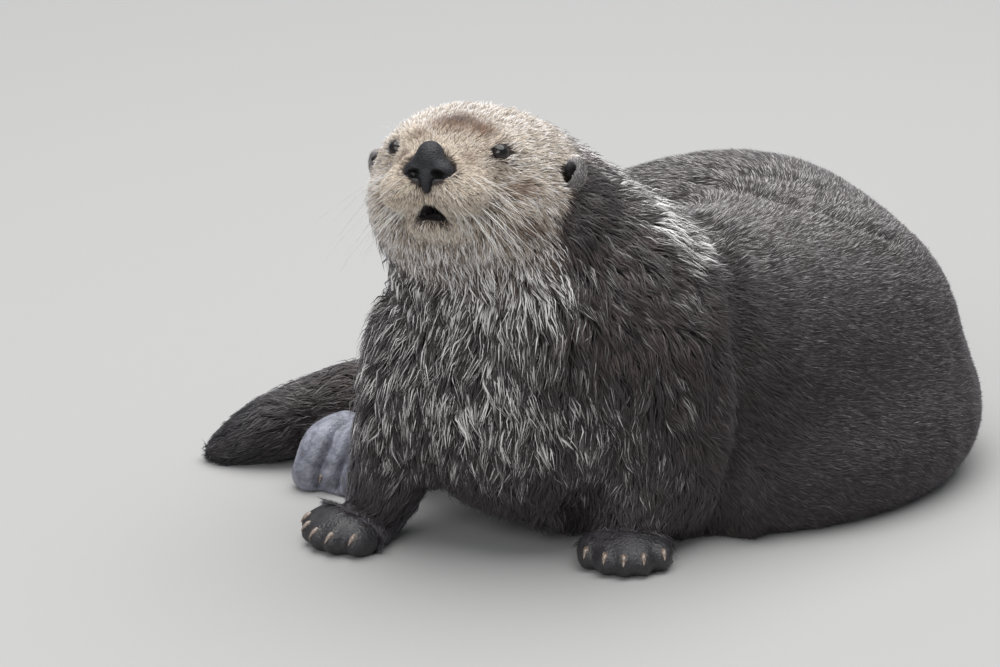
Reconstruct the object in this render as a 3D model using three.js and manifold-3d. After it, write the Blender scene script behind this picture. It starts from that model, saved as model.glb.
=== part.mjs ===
// A life-size sea otter, sitting with its head raised and its body curled round behind it.
//
// Units are millimetres, +Z is up and the floor is Z = 0. The chest faces -Y and the head is turned a
// little towards -X. The trunk runs off to the animal's left, +X, and curls round behind the chest, so
// that the tail and the right hind foot lie at -X. The surface is the outside of the coat.
//
// The whole animal is one smooth field, a blend of round masses and of limbs swept along curves. Each
// node is that field meshed at a size of its own and parted from its neighbours by thin cuts.

import * as THREE from "three";
import { mergeVertices } from "three/addons/utils/BufferGeometryUtils.js";
import Module from "manifold-3d";

const wasm = await Module();
wasm.setup();

// ---------------------------------------------------------------- driving dimensions
const GAP = 0.4; // width of the cut between two nodes
const SOCKET_GAP = 1.3; // the same round the nose and the ears, which are meshed apart
const EYE_RADIUS = 9;
const EYE_SPREAD = 42; // from the head's middle to an eye's middle
const EYE_HEIGHT = 11.5; // above the line between the ears
const NOSE_WIDTH = 40;
const EAR_HEIGHT = 27;
const CLAW_LENGTH = 8;
const CLAW_RADIUS = 2.8;
const CLAW_DROOP = 28;
const PAW_WIDTH = 73;
const REACH = 2000; // larger than the animal, for solids that stand for half of space
const FAR = 60; // beyond this a shape's rough distance is enough

// Cell sizes of the grids that mesh the field.
const TRUNK_CELL = 52;
const CHEST_CELL = 46;
const NECK_CELL = 32;
const HEAD_CELL = 17.5;
const LEG_CELL = 26;
const PAW_CELL = 12;
const FOOT_CELL = 14.5;
const HIDDEN_FOOT_CELL = 15;
const TAIL_CELL = 26;

// ---------------------------------------------------------------- frames
const DEG = Math.PI / 180;

// A frame with x to the animal's left, y to its back and z up while every turn is 0.
// Turns are in degrees: yaw about z, pitch about x, then roll about y.
function frameAt([x, y, z], [yaw, pitch, roll] = [0, 0, 0]) {
  const turn = new THREE.Euler(pitch * DEG, roll * DEG, yaw * DEG, "ZXY");
  return new THREE.Matrix4().makeRotationFromEuler(turn).setPosition(x, y, z);
}

const BODY = frameAt([0, 0, 0]);
const HEAD = frameAt([-21, 80, 326], [-20, -17, -4]); // midway between the ears
const RIGHT_PAW = frameAt([-112, 87, 0], [-52, 0, 0]); // on the floor under the wrist
const LEFT_PAW = frameAt([104, 47, 0], [-4, 0, 0]);

// ---------------------------------------------------------------- the field
// Each shape is a function of a point that gives its rough distance, negative inside.

function stretchedDistance(u, v, w, a, b, c) {
  const k0 = Math.hypot(u / a, v / b, w / c);
  const k1 = Math.hypot(u / (a * a), v / (b * b), w / (c * c));
  return k1 > 1e-9 ? (k0 * (k0 - 1)) / k1 : -Math.min(a, b, c);
}

// A round mass: an ellipsoid.
function mass(centre, [a, b, c], turn = [0, 0, 0], frame = BODY) {
  const place = frame.clone().multiply(frameAt(centre, turn));
  const middle = new THREE.Vector3().setFromMatrixPosition(place);
  const m = place.invert().elements;
  const widest = Math.max(a, b, c);
  return (x, y, z) => {
    const clear = Math.hypot(x - middle.x, y - middle.y, z - middle.z) - widest;
    if (clear > FAR) return clear;
    return stretchedDistance(
      m[0] * x + m[4] * y + m[8] * z + m[12],
      m[1] * x + m[5] * y + m[9] * z + m[13],
      m[2] * x + m[6] * y + m[10] * z + m[14],
      a,
      b,
      c,
    );
  };
}

// A limb swept along a smooth curve through stations [x, y, z, half width, half height].
function limb(stations, frame = BODY, stepsPerSpan = 6) {
  const centres = new THREE.CatmullRomCurve3(
    stations.map(([x, y, z]) => new THREE.Vector3(x, y, z).applyMatrix4(frame)),
  );
  const sizes = new THREE.CatmullRomCurve3(stations.map(([, , , w, h]) => new THREE.Vector3(w, h, 0)));
  const steps = (stations.length - 1) * stepsPerSpan;
  const spans = [];
  for (let i = 0; i < steps; i++) {
    const from = centres.getPoint(i / steps);
    const along = centres.getPoint((i + 1) / steps).sub(from);
    const length = along.length();
    along.divideScalar(length);
    const side = new THREE.Vector3(-along.y, along.x, 0);
    if (side.lengthSq() < 1e-6) side.set(1, 0, 0);
    side.normalize();
    const rise = new THREE.Vector3().crossVectors(along, side);
    const near = sizes.getPoint(i / steps);
    const far = sizes.getPoint((i + 1) / steps);
    const widest = Math.max(near.x, near.y, far.x, far.y) + length;
    spans.push({ from, along, side, rise, length, near, far, widest });
  }
  return (x, y, z) => {
    let least = Infinity;
    for (const s of spans) {
      const dx = x - s.from.x;
      const dy = y - s.from.y;
      const dz = z - s.from.z;
      const clear = Math.hypot(dx, dy, dz) - s.widest;
      if (clear > FAR || clear > least) {
        least = Math.min(least, clear);
        continue;
      }
      const run = dx * s.along.x + dy * s.along.y + dz * s.along.z;
      const t = Math.min(1, Math.max(0, run / s.length));
      const w = s.near.x + (s.far.x - s.near.x) * t;
      const h = s.near.y + (s.far.y - s.near.y) * t;
      const across = dx * s.side.x + dy * s.side.y + dz * s.side.z;
      const up = dx * s.rise.x + dy * s.rise.y + dz * s.rise.z;
      least = Math.min(least, stretchedDistance(across, run - t * s.length, up, w, (w + h) / 2, h));
    }
    return least;
  };
}

// Joins shapes, filling the corner between them over about `soft` millimetres.
function blend(soft, ...shapes) {
  return (x, y, z) => {
    let d = Infinity;
    for (const shape of shapes) {
      const e = shape(x, y, z);
      if (d === Infinity) {
        d = e;
        continue;
      }
      const h = Math.max(soft - Math.abs(d - e), 0) / soft;
      d = Math.min(d, e) - (h * h * soft) / 4;
    }
    return d;
  };
}

const bothSides = (make) => [-1, 1].map(make);

// ---------------------------------------------------------------- head
const inHead = (centre, radii, turn) => mass(centre, radii, turn, HEAD);

const skull = inHead([0, 8, 0], [76, 75, 47]);
const brow = inHead([0, -44, 9], [57, 39, 28]);
const cheeks = bothSides((s) => inHead([s * 33, -26, -28], [42, 50, 38], [s * 12, 0, 0]));
const muzzle = inHead([0, -78, -7], [36, 37, 25]);
const whiskerPads = bothSides((s) => inHead([s * 20, -88, -20], [25, 28, 20], [s * 14, 0, 0]));
const chin = inHead([0, -70, -42], [31, 32, 18]);
const throat = inHead([0, -12, -50], [64, 60, 34]);
const head = blend(
  18,
  blend(26, skull, throat, ...cheeks),
  brow,
  blend(12, muzzle, chin, ...whiskerPads),
);

// ---------------------------------------------------------------- trunk
const neck = limb([
  [-23, 96, 285, 89, 80],
  [3, 112, 256, 104, 98],
  [30, 122, 215, 112, 112],
]);
const nape = mass([70, 138, 225], [90, 70, 62], [20, 0, 18]);
const chest = mass([22, 112, 152], [120, 108, 142]);
const leftShoulder = mass([112, 108, 168], [76, 78, 112], [0, 0, -6]);
const foreTrunk = limb([
  [40, 135, 145, 112, 120],
  [115, 178, 130, 122, 122],
  [205, 222, 122, 131, 120],
  [258, 284, 106, 134, 121],
]);
const hindTrunk = limb([
  [258, 284, 104, 133, 119],
  [218, 352, 118, 132, 127],
  [120, 384, 106, 112, 110],
  [30, 366, 78, 86, 82],
]);
const belly = limb([
  [80, 150, 56, 90, 84],
  [140, 180, 48, 120, 86],
  [226, 216, 46, 140, 90],
  [266, 276, 50, 150, 95],
  [218, 346, 50, 138, 88],
  [112, 385, 46, 114, 76],
]);
const rump = mass([-24, 352, 48], [62, 64, 49], [-20, 0, 0]);

// ---------------------------------------------------------------- tail
const tail = limb([
  [-40, 350, 52, 62, 52],
  [-90, 312, 42, 46, 41],
  [-140, 284, 39, 40, 38],
  [-190, 270, 29, 34, 30],
  [-228, 264, 14, 22, 20],
  [-246, 262, 5, 7, 6],
]);

// ---------------------------------------------------------------- forelegs and paws
const rightForeleg = limb([
  [-52, 92, 168, 62, 62],
  [-72, 92, 118, 50, 50],
  [-84, 98, 70, 40, 40],
  [-98, 96, 32, 32, 30],
]);
const leftForeleg = limb([
  [118, 94, 170, 70, 70],
  [132, 86, 112, 60, 58],
  [124, 74, 62, 46, 44],
  [108, 62, 30, 36, 32],
]);

// A forepaw: a pad with five toes in an arc. Toe 0 is on the animal's right.
const TOES = 5;
function toePlace(i) {
  const share = i / (TOES - 1) - 0.5;
  return { x: share * (PAW_WIDTH - 18), y: -34 + 60 * share * share, turn: share * 28 };
}
function paw(frame) {
  const toes = Array.from({ length: TOES }, (_, i) => {
    const { x, y, turn } = toePlace(i);
    return mass([x, y, 11], [10.5, 22, 13], [turn, 0, 0], frame);
  });
  const pad = mass([0, -8, 14], [PAW_WIDTH / 2 - 3, 34, 20], [0, -6, 0], frame);
  return blend(9, pad, ...toes);
}
const rightPaw = paw(RIGHT_PAW);
const leftPaw = paw(LEFT_PAW);

// ---------------------------------------------------------------- hind legs and feet
const rightHindLeg = limb([
  [70, 300, 80, 74, 70],
  [10, 280, 56, 52, 48],
  [-50, 262, 46, 34, 32],
]);
const leftHindLeg = limb([
  [100, 420, 66, 62, 58],
  [50, 440, 40, 42, 36],
  [14, 444, 27, 28, 24],
]);

// A hind foot: a sole and five webbed toes, each longer than the one inside it, curled down at the tips.
function hindFoot(ankle, knuckles, tips, rootRadius, tipRadius) {
  const toes = Array.from({ length: TOES }, (_, i) => {
    const share = i / (TOES - 1);
    const at = (from, to) => from.map((v, k) => v + (to[k] - v) * share);
    const knuckle = at(knuckles[0], knuckles[1]);
    const tip = at(tips[0], tips[1]);
    const r0 = rootRadius[0] + (rootRadius[1] - rootRadius[0]) * share;
    const r1 = tipRadius[0] + (tipRadius[1] - tipRadius[0]) * share;
    const bend = knuckle.map((v, k) => v + (tip[k] - v) * 0.55 + (k === 2 ? 9 : 0));
    return limb([[...ankle, 24, 20], [...knuckle, r0, r0], [...bend, r0, r0], [...tip, r1, r1]], BODY, 4);
  });
  const middle = ([from, to]) => from.map((v, k) => (v + to[k]) / 2);
  const spread = ([from, to]) => Math.hypot(to[0] - from[0], to[1] - from[1]) / 2;
  const web = limb([
    [...ankle, 26, 20],
    [...middle(knuckles), spread(knuckles), rootRadius[0]],
    [...middle(tips), spread(tips), tipRadius[0]],
  ]);
  return blend(5, web, ...toes);
}
const rightHindFoot = hindFoot(
  [-64, 246, 38],
  [[-78, 212, 37], [-130, 222, 38]],
  [[-87, 188, 12], [-160, 200, 13]],
  [14, 22],
  [13, 17],
);
const leftHindFoot = hindFoot(
  [16, 444, 26],
  [[-26, 424, 24], [-38, 466, 22]],
  [[-84, 412, 11], [-112, 458, 11]],
  [15, 17],
  [12, 13],
);

// ---------------------------------------------------------------- the whole coat
const foreBody = blend(36, chest, neck, nape, leftShoulder);
const barrel = blend(26, blend(30, foreTrunk, belly), hindTrunk, rump);
const forequarters = blend(14, blend(16, foreBody, rightForeleg), leftForeleg);
const hindquarters = blend(18, barrel, rightHindLeg, leftHindLeg, tail);
const coat = blend(
  10,
  blend(24, blend(22, forequarters, head), hindquarters),
  blend(8, rightPaw, leftPaw),
  blend(8, rightHindFoot, leftHindFoot),
);

// ---------------------------------------------------------------- meshing
// Surface nets: a vertex for each grid cell that the surface crosses, moved onto the surface, and a
// square for each grid edge that it crosses. The outermost samples count as outside, which closes it.
function meshOf(field, low, high, cell) {
  const n = low.map((v, k) => Math.ceil((high[k] - v) / cell) + 1);
  const at = (i, j, k) => i + n[0] * (j + n[1] * k);
  const value = new Float32Array(n[0] * n[1] * n[2]);
  const edge = (i, k) => i === 0 || i === n[k] - 1;
  for (let k = 0; k < n[2]; k++)
    for (let j = 0; j < n[1]; j++)
      for (let i = 0; i < n[0]; i++)
        value[at(i, j, k)] =
          edge(i, 0) || edge(j, 1) || edge(k, 2)
            ? cell
            : field(low[0] + i * cell, low[1] + j * cell, low[2] + k * cell);

  untwist(value, n, cell);

  const corners = [0, 1, 2, 3, 4, 5, 6, 7].map((c) => [c & 1, (c >> 1) & 1, c >> 2]);
  const vertexOf = new Int32Array(value.length).fill(-1);
  const points = [];
  for (let k = 0; k < n[2] - 1; k++)
    for (let j = 0; j < n[1] - 1; j++)
      for (let i = 0; i < n[0] - 1; i++) {
        const v = corners.map(([a, b, c]) => value[at(i + a, j + b, k + c)]);
        const inside = v.filter((x) => x < 0).length;
        if (inside === 0 || inside === 8) continue;
        const sum = [0, 0, 0];
        let crossings = 0;
        for (let p = 0; p < 8; p++)
          for (const bit of [1, 2, 4]) {
            const q = p | bit;
            if (p & bit || v[p] < 0 === v[q] < 0) continue;
            const t = v[p] / (v[p] - v[q]);
            for (let m = 0; m < 3; m++) sum[m] += corners[p][m] + t * (corners[q][m] - corners[p][m]);
            crossings++;
          }
        vertexOf[at(i, j, k)] = points.length / 3;
        points.push(...[i, j, k].map((g, m) => low[m] + (g + sum[m] / crossings) * cell));
      }
  settle(points, field, low, high, cell);

  const triangles = [];
  const square = (a, b, c, d, flip) => {
    const reach = (p, q) => Math.hypot(...[0, 1, 2].map((m) => points[3 * p + m] - points[3 * q + m]));
    const halves = reach(a, c) < reach(b, d) ? [[a, b, c], [a, c, d]] : [[a, b, d], [b, c, d]];
    for (const [p, q, r] of halves) triangles.push(...(flip ? [p, r, q] : [p, q, r]));
  };
  const steps = [at(1, 0, 0), at(0, 1, 0), at(0, 0, 1)];
  for (let k = 0; k < n[2] - 1; k++)
    for (let j = 0; j < n[1] - 1; j++)
      for (let i = 0; i < n[0] - 1; i++) {
        const here = at(i, j, k);
        steps.forEach((step, m) => {
          if (value[here] < 0 === value[here + step] < 0) return;
          const [u, w] = [steps[(m + 1) % 3], steps[(m + 2) % 3]];
          const ring = [here - u - w, here - w, here, here - u].map((x) => vertexOf[x]);
          square(...ring, value[here] >= 0);
        });
      }
  return new wasm.Manifold(
    new wasm.Mesh({ numProp: 3, vertProperties: new Float32Array(points), triVerts: new Uint32Array(triangles) }),
  );
}

// Fills a sample wherever a square of the grid has just two opposite corners inside, until none has.
function untwist(value, n, cell) {
  const steps = [1, n[0], n[0] * n[1]];
  let filled = true;
  while (filled) {
    filled = false;
    for (let k = 1; k < n[2] - 2; k++)
      for (let j = 1; j < n[1] - 2; j++)
        for (let i = 1; i < n[0] - 2; i++) {
          const here = i + n[0] * (j + n[1] * k);
          for (const [u, w] of [[0, 1], [1, 2], [2, 0]]) {
            const ring = [here, here + steps[u], here + steps[u] + steps[w], here + steps[w]];
            const inside = ring.map((x) => value[x] < 0);
            if (inside[0] !== inside[2] || inside[1] !== inside[3] || inside[0] === inside[1]) continue;
            const outer = ring.filter((x) => value[x] >= 0).sort((a, b) => value[a] - value[b]);
            value[outer[0]] = -cell / 50;
            filled = true;
          }
        }
  }
}

// Moves points onto the field's surface, each by half a cell at most, apart from those on the grid's own walls.
function settle(points, field, low, high, cell) {
  const e = cell / 20;
  for (let v = 0; v < points.length; v += 3) {
    const p = points.slice(v, v + 3);
    if (p.some((x, m) => x < low[m] + 1.5 * cell || x > high[m] - 1.5 * cell)) continue;
    for (let round = 0; round < 3; round++) {
      const d = field(...p);
      const slope = [0, 1, 2].map((m) => {
        const q = p.map((x, k) => (k === m ? x + e : x));
        return (field(...q) - d) / e;
      });
      const steep = slope.reduce((s, x) => s + x * x, 0);
      if (steep < 1e-6) break;
      const move = slope.map((x) => (-d * x) / steep);
      const long = Math.hypot(...move);
      const most = Math.min(1, cell / 4 / Math.max(long, 1e-9));
      move.forEach((x, m) => {
        p[m] += x * most;
      });
    }
    for (let m = 0; m < 3; m++) points[v + m] = p[m];
  }
}

// ---------------------------------------------------------------- cutting
// A three.js geometry as a solid, placed by a frame.
function solidOf(geometry, frame = BODY) {
  const bare = geometry.index ? geometry.toNonIndexed() : geometry.clone();
  bare.deleteAttribute("normal");
  bare.deleteAttribute("uv");
  const merged = mergeVertices(bare.applyMatrix4(frame), 1e-3);
  return new wasm.Manifold(
    new wasm.Mesh({
      numProp: 3,
      vertProperties: merged.attributes.position.array,
      triVerts: new Uint32Array(merged.index.array),
    }),
  );
}

// All of space on the side of a plane that `normal` points to, less half the gap.
function beyond(point, normal, frame = BODY) {
  const n = new THREE.Vector3(...normal).normalize();
  const turn = new THREE.Quaternion().setFromUnitVectors(new THREE.Vector3(0, 0, 1), n);
  const middle = new THREE.Vector3(...point).addScaledVector(n, REACH / 2 + GAP / 2);
  const place = new THREE.Matrix4().compose(middle, turn, new THREE.Vector3(1, 1, 1));
  return solidOf(new THREE.BoxGeometry(REACH, REACH, REACH), frame.clone().multiply(place));
}
const opposite = (normal) => normal.map((v) => -v);

// A cutter of joined egg shapes, each [centre, radii, turn], and the same grown by the gap.
function eggs(...shapes) {
  const made = (grow) =>
    shapes
      .map(([centre, radii, turn]) => {
        const place = frameAt(centre, turn).scale(new THREE.Vector3(...radii.map((r) => r + grow)));
        return solidOf(new THREE.SphereGeometry(1, 14, 8), place);
      })
      .reduce((all, one) => all.add(one));
  return { inside: made(0), grown: made(GAP) };
}

const floor = solidOf(new THREE.BoxGeometry(REACH, REACH, REACH), frameAt([0, 0, REACH / 2]));

// The planes between lengths of the body, each as a point and the normal towards the tail.
const HEAD_CUT = [[0, 44, -8], [0, 0.66, -0.75]]; // in the head's frame
const NECK_CUT = [[24, 112, 232], [0.22, 0.12, -0.96]];
const WAIST_CUT = [[150, 180, 150], [0.93, 0.36, 0]];
const LOIN_CUT = [[140, 268, 100], [-0.16, 0.98, 0.06]];
const TAIL_CUT = [[-72, 326, 50], [-0.82, -0.57, 0]];
const sides = ([point, normal], frame) => ({
  before: beyond(point, opposite(normal), frame),
  after: beyond(point, normal, frame),
});
const atHead = sides(HEAD_CUT, HEAD);
const atNeck = sides(NECK_CUT);
const atWaist = sides(WAIST_CUT);
const atLoin = sides(LOIN_CUT);
const atTail = sides(TAIL_CUT);

// Where the legs and feet part from the body.
const rightArm = eggs([[-84, 90, 78], [66, 74, 92], [0, 0, 10]], [[-132, 64, 10], [72, 62, 56]]);
const leftArm = eggs([[128, 84, 88], [80, 84, 104]], [[106, 20, 10], [66, 62, 56]]);
const rightLeg = eggs([[-8, 276, 46], [82, 58, 66], [14, 0, 0]], [[-116, 212, 26], [66, 52, 64], [12, 0, 0]]);
const leftLeg = eggs([[62, 450, 30], [76, 52, 52], [-6, 0, 0]], [[-56, 438, 16], [84, 54, 46]]);
const atRightWrist = sides([[-104, 96, 34], [-0.3, -0.42, -0.86]]);
const atLeftWrist = sides([[108, 62, 36], [-0.05, -0.4, -0.91]]);
const atRightAnkle = sides([[-64, 246, 36], [-1, -0.35, 0]]);
const atLeftAnkle = sides([[16, 444, 26], [-1, 0, 0]]);
const besideTail = sides([[-120, 258, 40], [0.342, -0.94, 0]]);

// ---------------------------------------------------------------- eyes, nose, ears and claws
const eyePlace = (s) => frameAt([s * EYE_SPREAD, -60.5, EYE_HEIGHT]);
const eyeFrame = (s) => HEAD.clone().multiply(eyePlace(s));
const eyeball = (s, grow) => solidOf(new THREE.SphereGeometry(EYE_RADIUS + grow, 12, 7), eyeFrame(s));

// The bare nose: a wide pad over a narrow strip down to the lip, with a nostril on each side.
const nosePad = inHead([0, -105, 7.5], [11.5, 11, 13], [0, -20, 0]);
const noseWings = bothSides((s) => inHead([s * (NOSE_WIDTH / 2 - 10), -105, 0], [12.5, 10, 6.6], [0, 0, s * 34]));
const noseLobes = bothSides((s) => inHead([s * 9.5, -106, -4.5], [9, 9, 6]));
const noseStrip = inHead([0, -108, -10], [5.5, 8, 11.5]);
const nostrils = bothSides((s) => inHead([s * 9, -118, -4], [4.4, 9, 3.2], [s * -24, 0, s * 18]));
const noseField = blend(5, nosePad, ...noseWings, ...noseLobes, noseStrip);
function hollowed(field, hollows) {
  return (x, y, z) => Math.max(field(x, y, z), ...hollows.map((h) => -h(x, y, z)));
}

// An ear: a small cup, rolled forward, its mouth facing the nose and down.
function earFrame(s) {
  return HEAD.clone().multiply(frameAt([s * 84, 6, -4], [s * -24, 18, s * 14]));
}
function ear(s) {
  const shell = mass([0, 0, 0], [8, 12, EAR_HEIGHT / 2 + 2], [0, 0, 0], earFrame(s));
  const hollow = mass([s * 5, -8, -2], [6.5, 11, EAR_HEIGHT / 2 - 2], [0, 0, 0], earFrame(s));
  return hollowed(shell, [hollow]);
}

// One claw to each toe of a forepaw, pointing forward and down from the toe's tip.
function claws(frame) {
  return Array.from({ length: TOES }, (_, i) => {
    const { x, y, turn } = toePlace(i);
    const cone = new THREE.ConeGeometry(CLAW_RADIUS, 2 * CLAW_LENGTH, 6).rotateX(Math.PI + CLAW_DROOP * DEG);
    const tip = frameAt([x + 16 * Math.sin(turn * DEG), y - 16 * Math.cos(turn * DEG), 14], [turn, 0, 0]);
    return solidOf(cone, frame.clone().multiply(tip));
  });
}

// ---------------------------------------------------------------- materials
const finish = (color, roughness = 0.85) => new THREE.MeshStandardMaterial({ color, roughness, metalness: 0 });
const paleCoat = finish(0xb9a48c);
const greyCoat = finish(0x6b5f55);
const darkCoat = finish(0x4a3f39);
const wetCoat = finish(0x33302f, 0.6);
const bareSkin = finish(0x26262a, 0.45);
const footSkin = finish(0x55565c, 0.55);
const eyeGloss = finish(0x0c0a0a, 0.08);

// ---------------------------------------------------------------- assembly
const otter = new THREE.Group();

function addNode(name, solid, material) {
  const pieces = solid.decompose().sort((a, b) => b.volume() - a.volume());
  const { vertProperties, triVerts, numProp } = pieces[0].getMesh();
  const count = vertProperties.length / numProp;
  const position = new Float32Array(count * 3);
  for (let i = 0; i < count; i++) position.set(vertProperties.subarray(i * numProp, i * numProp + 3), i * 3);
  const geometry = new THREE.BufferGeometry()
    .setAttribute("position", new THREE.BufferAttribute(position, 3))
    .setIndex(new THREE.BufferAttribute(triVerts, 1));
  geometry.computeVertexNormals();
  const mesh = new THREE.Mesh(geometry, material);
  mesh.name = name;
  otter.add(mesh);
}

// A length of the coat: the field meshed in a box, kept inside some solids, cut by others and joined to more.
function length(name, material, cell, low, high, kept, cut = [], joined = []) {
  let solid = meshOf(coat, low, high, cell);
  for (const k of kept) solid = solid.intersect(k);
  for (const c of cut) solid = solid.subtract(c);
  for (const j of joined) solid = solid.add(j);
  addNode(name, solid.intersect(floor), material);
}

const ears = bothSides((s) => {
  const at = new THREE.Vector3().setFromMatrixPosition(earFrame(s)).toArray();
  return meshOf(ear(s), at.map((v) => v - 26), at.map((v) => v + 26), 5);
});
const earRoom = bothSides((s) => {
  const at = new THREE.Vector3().setFromMatrixPosition(earFrame(s)).toArray();
  const g = SOCKET_GAP;
  const shell = mass([0, 0, 0], [8 + g, 12 + g, EAR_HEIGHT / 2 + 2 + g], [0, 0, 0], earFrame(s));
  return meshOf(shell, at.map((v) => v - 28), at.map((v) => v + 28), 5);
});
const noseMiddle = new THREE.Vector3(0, -110, 0).applyMatrix4(HEAD).toArray();
const noseBox = (r) => [noseMiddle.map((v) => v - r), noseMiddle.map((v) => v + r)];
const nose = meshOf(hollowed(noseField, nostrils), ...noseBox(34), 5.4);
const noseRoom = meshOf((x, y, z) => noseField(x, y, z) - SOCKET_GAP, ...noseBox(36), 5.4);

length(
  "head", paleCoat, HEAD_CELL, [-170, -80, 190], [130, 210, 440],
  [atHead.before],
  [eyeball(-1, GAP), eyeball(1, GAP), noseRoom, ...earRoom],
);
addNode("nose", nose, bareSkin);
for (const [i, side] of ["right", "left"].entries()) {
  addNode("eye_" + side, eyeball(i * 2 - 1, 0), eyeGloss);
  addNode("ear_" + side, ears[i], wetCoat);
}
length(
  "neck", greyCoat, NECK_CELL, [-170, -60, 150], [240, 260, 420],
  [atHead.after, atNeck.before, atWaist.before, atLoin.before],
  earRoom,
);
length(
  "chest", greyCoat, CHEST_CELL, [-190, -60, -50], [260, 330, 330],
  [atNeck.after, atWaist.before, atLoin.before],
  [rightArm.grown, leftArm.grown, rightLeg.grown],
);
length(
  "trunk", darkCoat, TRUNK_CELL, [60, -20, -60], [480, 420, 350],
  [atWaist.after, atLoin.before],
  [leftArm.grown],
);
length(
  "hindquarters", darkCoat, TRUNK_CELL, [-170, 180, -60], [480, 600, 350],
  [atLoin.after, atTail.before],
  [rightLeg.grown, leftLeg.grown],
);
length(
  "tail", darkCoat, TAIL_CELL, [-310, 170, -40], [0, 420, 140],
  [atTail.after, besideTail.before],
  [rightLeg.grown.intersect(atRightAnkle.before), leftLeg.grown],
);
length(
  "foreleg_right", wetCoat, LEG_CELL, [-200, -40, -40], [20, 210, 230],
  [rightArm.inside, atRightWrist.before],
);
length(
  "forepaw_right", bareSkin, PAW_CELL, [-220, -20, -30], [-30, 170, 90],
  [rightArm.inside, atRightWrist.after],
  [],
  claws(RIGHT_PAW),
);
length(
  "foreleg_left", wetCoat, LEG_CELL, [20, -60, -40], [250, 210, 250],
  [leftArm.inside, atLeftWrist.before],
);
length(
  "forepaw_left", bareSkin, PAW_CELL, [20, -60, -30], [190, 140, 90],
  [leftArm.inside, atLeftWrist.after],
  [],
  claws(LEFT_PAW),
);
length(
  "hind_leg_right", darkCoat, LEG_CELL, [-130, 160, -40], [110, 370, 150],
  [rightLeg.inside, atRightAnkle.before],
);
length(
  "hind_foot_right", footSkin, FOOT_CELL, [-210, 140, -30], [-20, 300, 110],
  [rightLeg.inside, atRightAnkle.after, besideTail.after],
);
length(
  "hind_leg_left", darkCoat, LEG_CELL, [-50, 370, -40], [170, 540, 120],
  [leftLeg.inside, atLeftAnkle.before],
);
length(
  "hind_foot_left", footSkin, HIDDEN_FOOT_CELL, [-170, 360, -30], [50, 520, 80],
  [leftLeg.inside, atLeftAnkle.after],
);

// The origin is on the floor, under the middle of the whole animal's box.
const box = new THREE.Box3().setFromObject(otter);
const middle = box.getCenter(new THREE.Vector3());
otter.position.set(-middle.x, -middle.y, 0);

export default otter;
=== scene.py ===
"""A life-size sea otter sitting with its head raised and its body curled round behind it.

One skin stands for all the flesh of the frame's model. It is remeshed from the model's own solids, laid
on the smooth field that they were made from, and sunk below it by the depth of the coat. The coat is about
a million triangles of tapered locks that grow from the skin and lie along the body, with their tips about
at that field. The eyes, nose, ears, claws and whiskers are pieces of their own.

Places are worked out in the millimetres of the model's own making, where the floor is Z = 0, the chest
faces -Y and the animal's left is +X. to_row() turns them into the frame's metres. In the functions p stands
for an array of such points, q for points in a frame of their own, and s for a side, -1 right and 1 left.
"""

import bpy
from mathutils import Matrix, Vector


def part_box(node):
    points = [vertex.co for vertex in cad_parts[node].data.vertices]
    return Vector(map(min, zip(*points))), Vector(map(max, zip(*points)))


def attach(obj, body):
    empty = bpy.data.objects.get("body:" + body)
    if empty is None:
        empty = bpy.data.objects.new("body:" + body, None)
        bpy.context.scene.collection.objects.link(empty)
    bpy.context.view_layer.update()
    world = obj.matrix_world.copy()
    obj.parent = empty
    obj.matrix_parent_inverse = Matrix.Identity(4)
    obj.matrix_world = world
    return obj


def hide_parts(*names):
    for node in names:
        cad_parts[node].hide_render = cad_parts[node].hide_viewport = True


bl_info = {
    "name": "Sea otter",
    "version": (1, 0, 0),
    "blender": (4, 5, 0),
    "location": "3D View > Sidebar > Otter",
    "description": "Skin, coat, face and stage of a life-size sea otter",
    "category": "Object",
}

import math

import bmesh
import bpy
import numpy as np
from mathutils import Matrix, Vector
from mathutils.kdtree import KDTree

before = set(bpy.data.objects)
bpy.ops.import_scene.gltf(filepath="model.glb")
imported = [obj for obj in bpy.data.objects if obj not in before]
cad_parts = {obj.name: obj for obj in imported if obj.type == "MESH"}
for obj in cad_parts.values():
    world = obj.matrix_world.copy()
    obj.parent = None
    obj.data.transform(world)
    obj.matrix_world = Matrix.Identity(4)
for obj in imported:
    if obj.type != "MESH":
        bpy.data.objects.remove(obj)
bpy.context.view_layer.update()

FLESH = [
    "head", "neck", "chest", "trunk", "hindquarters", "tail",
    "foreleg_left", "foreleg_right", "forepaw_left", "forepaw_right",
    "hind_leg_left", "hind_leg_right", "hind_foot_left", "hind_foot_right",
]
SIDES = {"right": -1, "left": 1}

# Millimetres, and places in the head's frame on the animal's left.
EYE_RADIUS = 9.0
EYE_PLACE = (42.0, -60.5, 11.5)
LID_HALF_WIDTH = 7.2
UPPER_LID, LOWER_LID = 6.1, 5.6  # how far each lid's edge is from the eye's middle
NOSE_WIDTH = 40.0
NOSE_PLACE = (0.0, -105.0, 0.0)
MOUTH_TOP = -29.5
MOUTH_HEIGHT = 11.5
MOUTH_HALF_TOP, MOUTH_HALF_LIP = 3.5, 14.0  # half its width at the top and at the lower lip
MOUTH_DEPTH = 7.0
EAR_PLACE = (84.0, 6.0, -4.0)
EAR_HEIGHT = 27.0
PAW_WIDTH = 73.0
TOES = 5


# ---------------------------------------------------------------- frames
def frame_at(place, turn=(0, 0, 0)):
    """A frame with x to the left, y to the back and z up, turned by yaw, pitch and roll in degrees."""
    yaw, pitch, roll = (math.radians(a) for a in turn)
    m = Matrix.Rotation(yaw, 4, "Z") @ Matrix.Rotation(pitch, 4, "X") @ Matrix.Rotation(roll, 4, "Y")
    m.translation = Vector(place)
    return np.array(m)


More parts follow.
